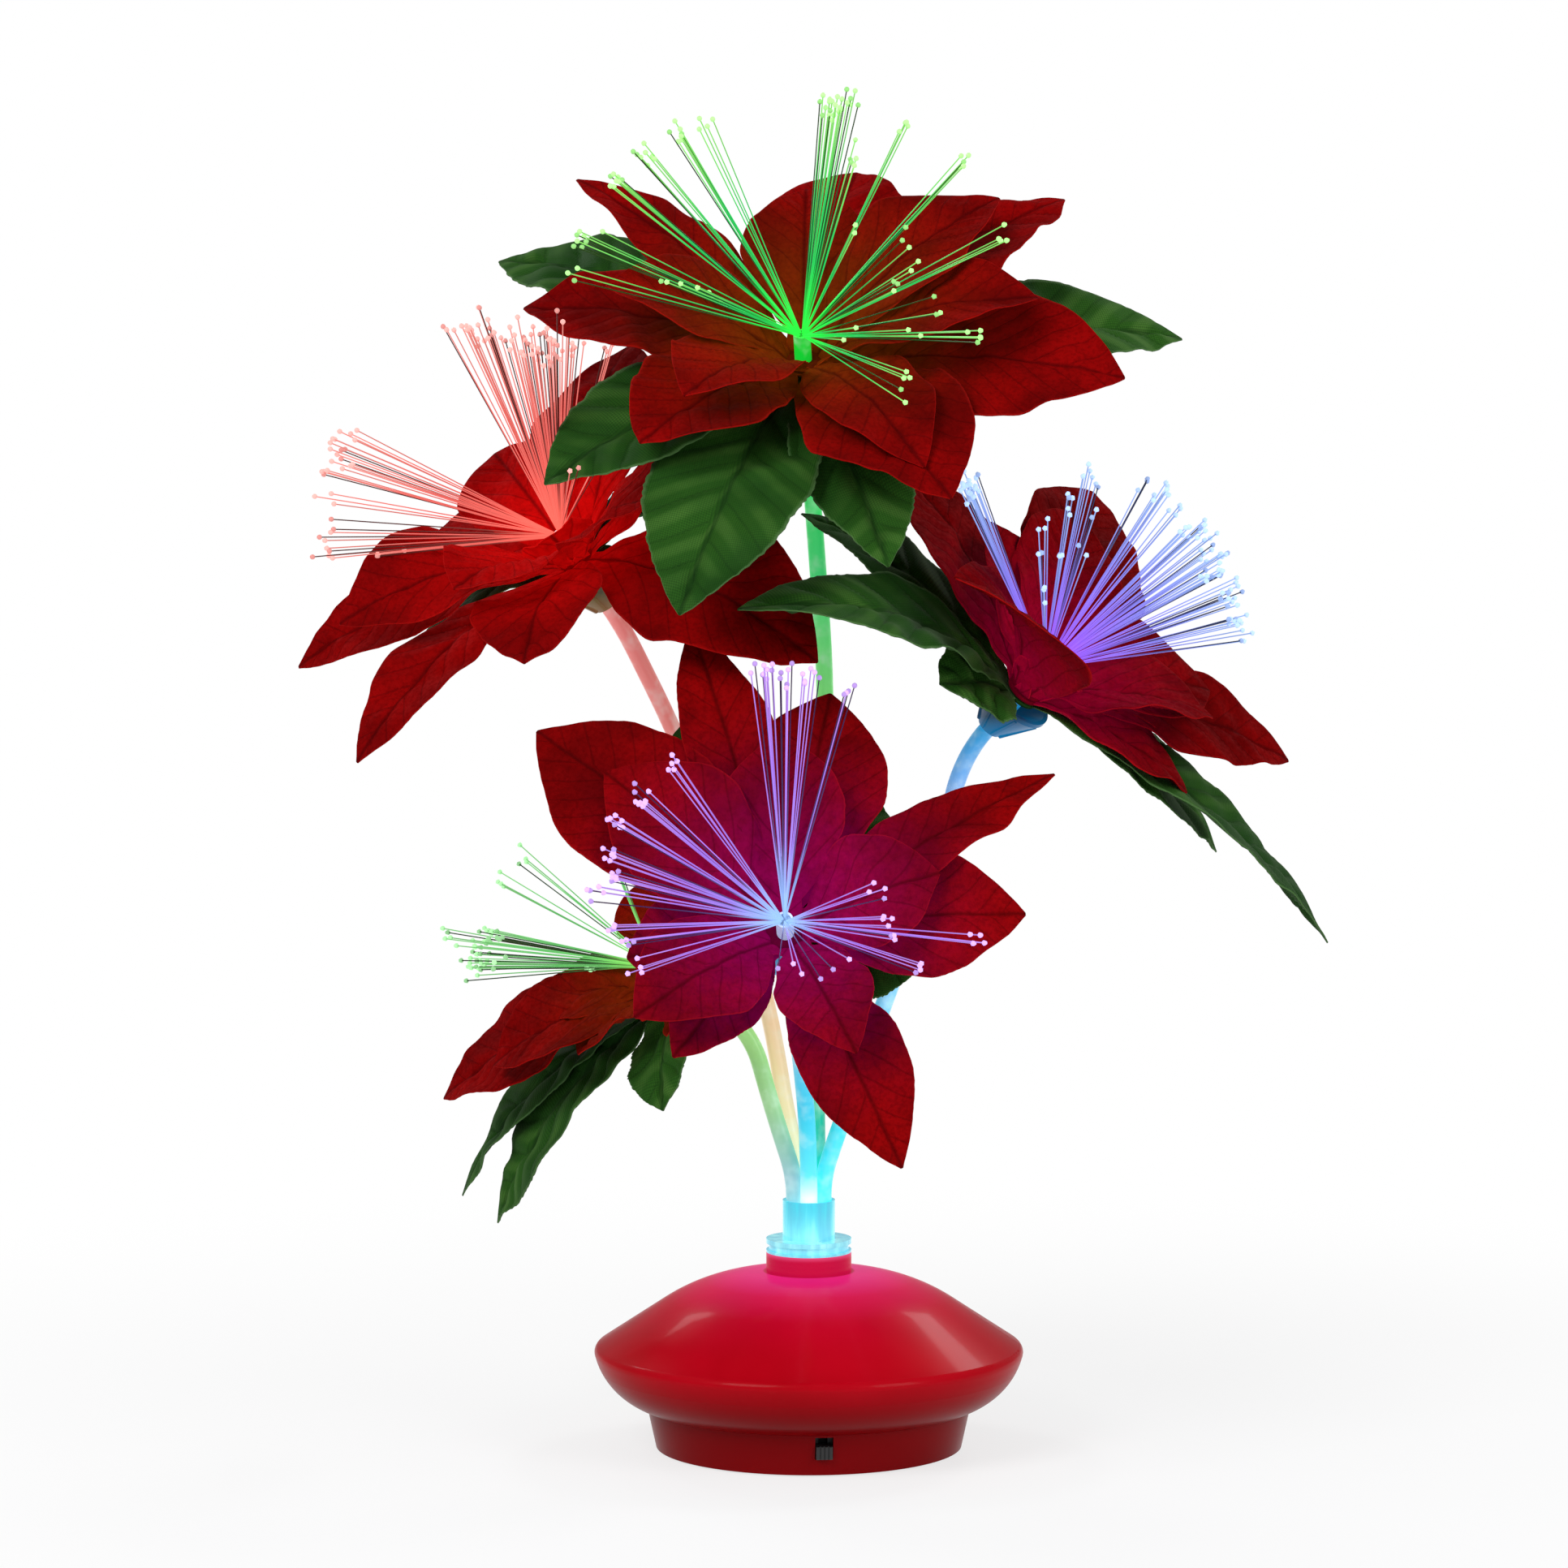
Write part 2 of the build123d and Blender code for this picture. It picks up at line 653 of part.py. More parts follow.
def make_switch_knob():
    """Ribbed knob that shows in the foot's slot, with its shank inside the switch."""
    front = switch_front()
    reach = foot_radius(KNOB_Z) + KNOB_PROUD
    low = KNOB_Z - KNOB_H / 2
    high = KNOB_Z + KNOB_H / 2
    paddle = block(-KNOB_W / 2, KNOB_W / 2, -reach, -front - RUNNING_GAP, low, high)
    paddle = fillet(paddle.edges().group_by(Axis.Y)[0], KNOB_EDGE_R)
    half = SWITCH_SHANK / 2
    shank = block(
        -half, half, -front - RUNNING_GAP - KNOB_ROOT,
        SWITCH_BODY_D - front - SWITCH_FACE_T - SEAT_GAP, KNOB_Z - half, KNOB_Z + half,
    )
    grooves = []
    pitch = KNOB_W / (KNOB_GROOVES + 1)
    for i in range(KNOB_GROOVES):
        x = (i - (KNOB_GROOVES - 1) / 2) * pitch
        grooves.append(
            block(
                x - KNOB_GROOVE_W / 2, x + KNOB_GROOVE_W / 2, -reach - 1,
                -reach + KNOB_GROOVE_D, low - 1, high + 1,
            )
        )
    return switch_place() * ((paddle + shank) - grooves)


# Lamp board

def ring_places():
    """X and Y of each stem foot, by flower."""
    places = {}
    for name, flower in FLOWERS.items():
        angle = math.radians(flower["ring_angle"])
        places[name] = (STEM_RING_R * math.cos(angle), STEM_RING_R * math.sin(angle))
    return places


def make_led_board():
    """Round circuit board with its two screw holes."""
    board = disc(BOARD_R, BOARD_Z, BOARD_TOP)
    for x, y in BOARD_SCREWS:
        board = board - disc(BOARD_SCREW_R + SEAT_GAP, BOARD_Z - 1, BOARD_TOP + 1, x, y)
    return board


def make_leds():
    """One round lamp under each stem."""
    leds = []
    for x, y in ring_places().values():
        flange = disc(LED_FLANGE_R, BOARD_TOP, BOARD_TOP + LED_FLANGE_T, x, y)
        body = disc(LED_R, BOARD_TOP, BOARD_TOP + LED_H - LED_R, x, y)
        dome = Pos(x, y, BOARD_TOP + LED_H - LED_R) * Sphere(LED_R)
        leds.append(flange + body + dome)
    return Compound(children=leds)


def make_light_cup():
    """White funnel that keeps the lamps' light in the neck."""
    top = PLUG_SEAT_Z - SEAT_GAP
    cup = disc(LIGHT_CUP_R, BOARD_TOP, top)
    return cup - disc(LIGHT_CUP_R - LIGHT_CUP_WALL, BOARD_TOP - 1, top + 1)


def make_board_screws():
    """Two small screws under the circuit board."""
    screws = []
    for x, y in BOARD_SCREWS:
        head = disc(BOARD_SCREW_HEAD_R, BOARD_Z - BOARD_SCREW_HEAD_T, BOARD_Z, x, y)
        root = BOARD_Z - BOARD_SCREW_HEAD_T / 2
        shank = disc(BOARD_SCREW_R, root, BOARD_Z + BOARD_SCREW_L, x, y)
        low = BOARD_Z - BOARD_SCREW_HEAD_T
        slot = block(
            -BOARD_SCREW_HEAD_R, BOARD_SCREW_HEAD_R, -BOARD_SCREW_SLOT / 2, BOARD_SCREW_SLOT / 2,
            low - 1, low + BOARD_SCREW_SLOT,
        )
        screws.append((head + shank) - Pos(x, y, 0) * slot)
    return Compound(children=screws)


def make_board_chips():
    """Colour-change chip and two resistors under the board."""
    length, width, height = CHIP_SIZE
    chip = block(-length / 2, length / 2, -width / 2, width / 2, BOARD_Z - height, BOARD_Z)
    length, width, height = RESISTOR_SIZE
    parts = [chip]
    for side in (-1, 1):
        y = side * CHIP_SIZE[1]
        parts.append(
            block(-length / 2, length / 2, y - width / 2, y + width / 2, BOARD_Z - height, BOARD_Z)
        )
    return Compound(children=parts)


def wire_taps():
    """X and Y where the two battery wires leave the top of the bay."""
    x = BAY_HALF_L - CONTACT_T - WIRE_R
    y = CELL_SPACING + CELL_R / 2
    return [(x, y), (-x, -y)]


def round_path(points, straight_start=0.0, straight_end=0.0):
    """Straight runs joined by tangent arcs as large as the runs and the straight ends allow."""
    vectors = [Vector(*p) for p in points]
    runs = [b - a for a, b in zip(vectors, vectors[1:])]
    radii = []
    for i, (before, after) in enumerate(zip(runs, runs[1:])):
        reach = ARC_SHARE * min(before.length, after.length)
        if i == 0:
            reach = min(reach, before.length - straight_start)
        if i == len(runs) - 2:
            reach = min(reach, after.length - straight_end)
        turn = math.radians(before.get_angle(after))
        radii.append(reach / math.tan(turn / 2))
    return FilletPolyline(*points, radius=radii), radii


def tube_along(points, radius, bore=0.0, straight_start=0.0, straight_end=0.0):
    """Round tube or rod along a smooth path."""
    path, radii = round_path(points, straight_start, straight_end)
    start = Plane(origin=path @ 0, z_dir=path % 0)
    solid = sweep(start * Circle(radius), path=path)
    if bore > 0:
        solid = solid - sweep(start * Circle(bore), path=path)
    return solid, min(radii)


def wire_land(angle):
    """X and Y of a wire's solder joint under the board."""
    around = math.radians(angle)
    reach = BOARD_R * WIRE_LAND_SHARE
    return (reach * math.cos(around), reach * math.sin(around))


def make_battery_wire(end):
    """Wire from one end of the row of cells to the circuit board."""
    x, y = wire_taps()[end]
    side = 1 if x > 0 else -1
    swing_x, swing_y, swing_z = WIRE_SWING
    land = wire_land(WIRE_LAND_ANGLE if x > 0 else WIRE_LAND_ANGLE + 180)
    points = [
        (x, y, BAY_TOP - WIRE_TAIL),
        (x, y, BAY_TOP + WIRE_RISE),
        (x - side * swing_x, y - side * swing_y, BAY_TOP + WIRE_RISE + swing_z),
        (*land, BOARD_Z - WIRE_DROP),
        (*land, BOARD_Z),
    ]
    return tube_along(points, WIRE_R)[0]


def make_switch_wire():
    """Wire from the switch's upper terminal to the circuit board."""
    rear = switch_place() * Pos(0, SWITCH_BODY_D - switch_front() + TERMINAL_L / 2, 0)
    start = rear.position
    swing_x, swing_y, swing_z = SWITCH_WIRE_SWING
    land = wire_land(-90)
    points = [
        (start.X, start.Y, WALL + TERMINAL_Z),
        (start.X, start.Y, WALL + SWITCH_BODY_H),
        (start.X + swing_x, start.Y + swing_y, BAY_TOP + WIRE_RISE + swing_z),
        (*land, BOARD_Z - WIRE_DROP),
        (*land, BOARD_Z),
    ]
    return tube_along(points, WIRE_R)[0]


# Neck

def make_neck_plug():
    """Clear plug with two lips and a groove, seated in the collar, with a ledge for the stems."""
    bore_r = SLEEVE_R + RUNNING_GAP
    seat = disc(COLLAR_BORE_R - RUNNING_GAP, PLUG_SEAT_Z, COLLAR_TOP)
    groove = disc(PLUG_GROOVE_R, COLLAR_TOP, PLUG_TOP)
    lips = [
        disc(PLUG_LIP_R, COLLAR_TOP, COLLAR_TOP + PLUG_LIP_T / 2),
        disc(PLUG_LIP_R, PLUG_TOP - PLUG_LIP_T, PLUG_TOP),
    ]
    plug = seat + groove + lips
    plug = plug - disc(bore_r, STEM_FOOT, PLUG_TOP + 1)
    return plug - disc(LIGHT_HOLE_R, PLUG_SEAT_Z - 1, STEM_FOOT + 1)


def make_stem_sleeve():
    """Clear sleeve that gathers the five stems and turns in the plug."""
    sleeve = disc(SLEEVE_R, STEM_FOOT, SLEEVE_TOP)
    return sleeve - disc(SLEEVE_IN_R, STEM_FOOT - 1, SLEEVE_TOP + 1)


# Flowers

class Flower:
    """Frame of one flower: hub, axis and two directions across it."""

    def __init__(self, name):
        self.name = name
        self.data = FLOWERS[name]
        self.hub = Vector(*self.data["hub"])
        self.axis = Vector(*self.data["axis"]).normalized()
        self.right = (Vector(1, 0, 0) - self.axis * self.axis.X).normalized()
        self.up = self.axis.cross(self.right)

    def plane(self, height):
        """Plane across the axis at a height from the hub."""
        return Plane(origin=self.hub + self.axis * height, x_dir=self.right, z_dir=self.axis)

    def outward(self, azimuth):
        """Direction square to the axis."""
        angle = math.radians(azimuth)
        return self.right * math.cos(angle) + self.up * math.sin(angle)


def petal_half_width(share, width):
    """Half width of a petal at a share of its length."""
    root = PETAL_ROOT_W / 2 * (1 - share)
    body = width / 2 * math.sin(math.pi * share ** PETAL_WIDEST) ** PETAL_FULLNESS
    return max(root, body)


def petal(flower, layer, azimuth, tilt, length, width, roll=0, bow=None):
    """One petal or leaf: a thin cupped blade lofted along a bowed midrib."""
    bow = PETAL_BOW[layer] if bow is None else bow
    out = flower.outward(azimuth)
    lean = math.radians(tilt)
    along = out * math.sin(lean) + flower.axis * math.cos(lean)
    face = flower.axis * math.sin(lean) - out * math.cos(lean)
    across = face.cross(along)
    centre = flower.hub + flower.axis * LAYER_HEIGHT[layer]
    root = centre + out * PETAL_ROOT_R
    tip = centre + along * length
    sections = []
    for share in PETAL_STATIONS:
        twist = math.radians(roll) * share
        side = across * math.cos(twist) + face * math.sin(twist)
        normal = face * math.cos(twist) - across * math.sin(twist)
        middle = root + (tip - root) * share + face * (bow * length * 4 * share * (1 - share))
        half = petal_half_width(share, width)
        rise = PETAL_CUP[layer] * half
        edge_up = normal * (rise + PETAL_EDGE_T / 2)
        edge_down = normal * (rise - PETAL_EDGE_T / 2)
        left_up = middle - side * half + edge_up
        left_down = middle - side * half + edge_down
        right_up = middle + side * half + edge_up
        right_down = middle + side * half + edge_down
        top = ThreePointArc(left_up, middle + normal * (PETAL_T / 2), right_up)
        bottom = ThreePointArc(right_down, middle - normal * (PETAL_T / 2), left_down)
        sections.append(Wire([top, Line(right_up, right_down), bottom, Line(left_down, left_up)]))
    return Solid.make_loft(sections)


def make_petals(flower, layer):
    """One layer of petals or leaves, joined to the disc that sits on the stem."""
    height = LAYER_HEIGHT[layer]
    hub_disc = flower.plane(height) * Cylinder(HUB_DISC_R, HUB_DISC_T)
    blades = [petal(flower, layer, *row) for row in flower.data[layer]]
    joined = hub_disc.fuse(*blades)
    hole = flower.plane(height) * Cylinder(STEM_R + RUNNING_GAP, 6 * HUB_DISC_T)
    return joined - hole


def make_calyx(flower):
    """Ribbed plastic cup under the leaves."""
    top = -LAYER_STEP - HUB_DISC_T
    foot = top - CALYX_H
    bore = STEM_R + RUNNING_GAP
    foot_r = bore + CALYX_WALL
    section = make_face(
        Polyline(
            (bore, foot), (foot_r, foot), (CALYX_TOP_R, top - CALYX_WALL), (CALYX_TOP_R, top),
            (CALYX_TOP_R - CALYX_WALL, top), (bore, foot + CALYX_H / 2), (bore, foot),
        )
    )
    cup = turned(section)
    rib_foot = foot + CALYX_RIB_MARGIN
    rib_top = top - CALYX_WALL - CALYX_RIB_MARGIN
    slope_r = CALYX_TOP_R - CALYX_RIB_MARGIN
    rib = make_face(
        Polyline(
            (foot_r - CALYX_RIB_SINK, rib_foot), (foot_r + CALYX_RIB_H, rib_foot),
            (slope_r + CALYX_RIB_H / 2, rib_top), (slope_r - 2 * CALYX_RIB_SINK, rib_top),
            (foot_r - CALYX_RIB_SINK, rib_foot),
        )
    )
    rib = extrude(Plane.XZ * rib, CALYX_RIB_T / 2, both=True)
    ribs = [Rot(0, 0, 360 * i / CALYX_RIBS) * rib for i in range(CALYX_RIBS)]
    return flower.plane(0).location * (cup + ribs)


def stem_points(flower):
    """Route of a stem, from the plug's ledge to past the flower's hub."""
    x, y = ring_places()[flower.name]
    near = flower.hub - flower.axis * flower.data["approach"]
    end = flower.hub + flower.axis * STEM_PAST_HUB
    points = [(x, y, STEM_FOOT), (x, y, STEM_RISE)]
    points += list(flower.data["route"])
    points += [tuple(near), tuple(end)]
    return points


def stem_rod(flower, radius, bore=0.0):
    """Tube or rod along a flower's stem, straight in the sleeve and through the flower."""
    return tube_along(
        stem_points(flower), radius, bore,
        straight_start=SLEEVE_TOP - STEM_FOOT + SEAT_GAP,
        straight_end=STEM_PAST_HUB + LAYER_STEP + HUB_DISC_T + CALYX_H + SEAT_GAP,
    )


def strand_aims(flower):
    """Root place and aim of each strand, as (share, azimuth, tilt, azimuth)."""
    clumps = []
    for azimuth, tilt in flower.data["clumps"]:
        angle = math.radians(azimuth)
        clumps.append((tilt * math.cos(angle), tilt * math.sin(angle)))
    aims = []
    for i in range(STRANDS):
        share = math.sqrt((i + 0.5) / STRANDS)
        azimuth = math.radians(i * GOLDEN_ANGLE)
        x = STRAND_MAX_TILT * share * math.cos(azimuth)
        y = STRAND_MAX_TILT * share * math.sin(azimuth)
        near = min(clumps, key=lambda c: math.hypot(c[0] - x, c[1] - y))
        x += (near[0] - x) * STRAND_GATHER
        y += (near[1] - y) * STRAND_GATHER
        aims.append((share, azimuth, math.hypot(x, y), math.atan2(y, x)))
    return aims


def strand_line(flower, index, aim):
    """Start and end point of a strand's centre line."""
    share, azimuth, tilt, aim_azimuth = aim
    root_r = (SPRAY_DISC_R - STRAND_W) * share
    centre = flower.hub + flower.axis * (STEM_PAST_HUB + SPRAY_DISC_T / 2)
    start = centre + flower.outward(math.degrees(azimuth)) * root_r
    lean = math.radians(tilt)
    along = flower.outward(math.degrees(aim_azimuth)) * math.sin(lean) + flower.axis * math.cos(lean)
    length = STRAND_L + STRAND_L_SPREAD * math.sin(STRAND_L_RATE * index)
    return start, start + along * length


def least_strand_gap(lines):
    """Least distance between strand centre lines beyond the disc, measured on points."""
    steps = 40
    samples = [[a + (b - a) * (k / steps) for k in range(2, steps + 1)] for a, b in lines]
    least = STRAND_L
    for i, first in enumerate(samples):
        for second in samples[i + 1:]:
            for k, point in enumerate(first):
                for other in second[max(0, k - 1):k + 2]:
                    least = min(least, (point - other).length)
    return least


def make_fibre_spray(flower):
    """Four-sided strands fanned out of the disc on the stem's end."""
    lines = [strand_line(flower, i, aim) for i, aim in enumerate(strand_aims(flower))]
    strands = []
    for start, end in lines:
        across = Plane(origin=start, z_dir=end - start)
        strands.append(extrude(across * Rectangle(STRAND_W, STRAND_W), (end - start).length))
    low = STEM_PAST_HUB
    backing = flower.plane(low + SPRAY_DISC_T / 2) * Cylinder(SPRAY_DISC_R, SPRAY_DISC_T)
    print(flower.name, "strands", len(strands), "least centre gap", round(least_strand_gap(lines), 2))
    return backing.fuse(*strands)


LAYER_NODES = {"leaves": "leaves", "outer": "outer_bracts", "inner": "inner_bracts"}

write("upper_shell", make_upper_shell())
write("lower_shell", make_lower_shell())
write("case_screws", make_case_screws())
write("battery_cells", make_battery_cells())
write("contact_springs", make_contact_springs())
write("contact_plates", make_contact_plates())
write("battery_door", make_battery_door())
write("switch_body", make_switch_body())
write("switch_knob", make_switch_knob())
write("led_board", make_led_board())
write("leds", make_leds())
write("light_cup", make_light_cup())
write("board_screws", make_board_screws())
write("board_chips", make_board_chips())
write("red_wire", make_battery_wire(0))
write("black_wire", make_battery_wire(1))
write("switch_wire", make_switch_wire())
write("neck_plug", make_neck_plug())
write("stem_sleeve", make_stem_sleeve())

for flower_name in FLOWERS:
    bloom = Flower(flower_name)
    stem, tightest = stem_rod(bloom, STEM_R, STEM_IN_R)
    print(flower_name, "stem's tightest bend radius", round(tightest, 1))
    write(flower_name + "_stem_tube", stem)
    write(flower_name + "_fibre_bundle", stem_rod(bloom, BUNDLE_R)[0])
    write(flower_name + "_fibre_spray", make_fibre_spray(bloom))
    write(flower_name + "_calyx", make_calyx(bloom))
    for layer_name, node_name in LAYER_NODES.items():
        write(flower_name + "_" + node_name, make_petals(bloom, layer_name))
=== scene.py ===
import math
import random

import bpy
import numpy as np
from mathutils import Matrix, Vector
from mathutils.bvhtree import BVHTree


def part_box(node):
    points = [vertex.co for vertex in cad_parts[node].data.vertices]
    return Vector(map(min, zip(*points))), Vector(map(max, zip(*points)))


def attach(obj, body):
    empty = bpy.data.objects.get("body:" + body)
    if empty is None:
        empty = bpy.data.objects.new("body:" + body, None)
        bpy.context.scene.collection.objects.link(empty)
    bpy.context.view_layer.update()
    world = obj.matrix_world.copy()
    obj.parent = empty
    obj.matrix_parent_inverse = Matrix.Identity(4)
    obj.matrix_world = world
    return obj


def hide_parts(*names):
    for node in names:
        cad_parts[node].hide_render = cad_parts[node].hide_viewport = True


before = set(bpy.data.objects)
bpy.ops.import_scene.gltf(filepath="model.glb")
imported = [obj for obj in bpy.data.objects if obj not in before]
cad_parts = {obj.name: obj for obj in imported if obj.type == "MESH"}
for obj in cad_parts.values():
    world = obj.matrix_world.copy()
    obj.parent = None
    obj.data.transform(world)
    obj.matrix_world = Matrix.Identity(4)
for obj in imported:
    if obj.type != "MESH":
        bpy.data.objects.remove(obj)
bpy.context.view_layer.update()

# Lengths below are millimetres, and MM turns them into metres.
MM = 0.001

# The ring of cloth round the stem that a layer of petals or leaves grows from.
HUB_DISC_R = 4.8
HUB_DISC_T = 0.8
HUB_DISC_SIDES = 32
STEM_R = 2.2

# Blades, which are petals or leaves. They start ROOT_R from the axis. WIDEST and FULLNESS are
# powers that set where a blade is widest and how round its outline is.
ROOT_R = 4.0
TIP_W = 0.7
WIDEST = 1.15
FULLNESS = 0.85
MARGIN_SWELL = 0.035
MIDRIB_W = 1.1
VEIN_W = 1.0
VEIN_DRIFT = 0.22
FOLD_SHARE = 0.6
EDGE_THINNING = 0.35

# Half widths between which a blade's relief and fray fade in, and heights over the hub between
# which the fibres' light does.
RELIEF_HALF = (2.0, 8.0)
FRAY_HALF = (1.0, 4.0)
LIT_HEIGHT = (-22.0, 4.0)

# Each layer's height on the stem, width at the root, bow as a share of the length, cup as a
# share of the half width, mesh, thickness, pattern of veins and depths of the relief.
LAYERS = {
    "leaves": {
        "height": -1.4, "root": 4.8, "bow": 0.08, "cup": 0.10,
        "rows": 84, "columns": 26, "thickness": 0.5,
        "vein_spacing": 12.5, "vein_slant": 0.95, "midrib": 0.8, "vein": 0.45, "pucker": 0.95,
        "wrinkle": 0.70, "margin_wave": 0.7, "fray": 0.30,
    },
    "outer": {
        "height": 0.0, "root": 6.0, "bow": 0.08, "cup": 0.10,
        "rows": 64, "columns": 26, "thickness": 0.45,
        "vein_spacing": 8.0, "vein_slant": 1.15, "midrib": 0.60, "vein": 0.26, "pucker": 0.42,
        "wrinkle": 0.75, "margin_wave": 1.0, "fray": 0.08,
    },
    "inner": {
        "height": 1.4, "root": 9.0, "bow": 0.10, "cup": 0.16,
        "rows": 52, "columns": 24, "thickness": 0.45,
        "vein_spacing": 6.5, "vein_slant": 1.15, "midrib": 0.70, "vein": 0.40, "pucker": 0.62,
        "wrinkle": 0.60, "margin_wave": 0.8, "fray": 0.07,
    },
}

# Fibres: the end of the bundle that they leave, and one strand with the bead at its tip, whose
# rings are (height, girth) as shares of BEAD_R.
SPRAY_BASE = 9.5
SPRAY_CENTRE = 10.0
SPRAY_R = 2.3
STRAND_R = 0.16
STRAND_SIDES = 5
STRAND_STATIONS = (0.0, 0.08, 0.3, 0.6, 1.0)
STRAND_LENGTH = 60.0
LENGTH_SPREAD = (0.94, 1.04)
ROOT_SPREAD = (0.3, 1.0)
SHORTEST_STRAND = 16.0
BEAD_R = 0.72
BEAD_RINGS = ((-0.85, 0.55), (-0.3, 0.97), (0.4, 0.9), (0.9, 0.4))
TIP_FROM = 0.7
# Share of the strands that are dark: unlit fibres, and painted shade for the dark gaps between lit
# ones.
DARK_SHARE = 0.27

# Tufts: their spread, and how a strand keeps clear. One that meets something within its length,
# seen from RAY_START on, is stood up by LIFTS degrees, and else ends CLEARANCE short of it.
TUFT_SPREAD = 1.25
LEAST_TILT = 2.0
LIFTS = (0, 3, 6, 9)
RAY_START = 2.0
CLEARANCE = 0.9

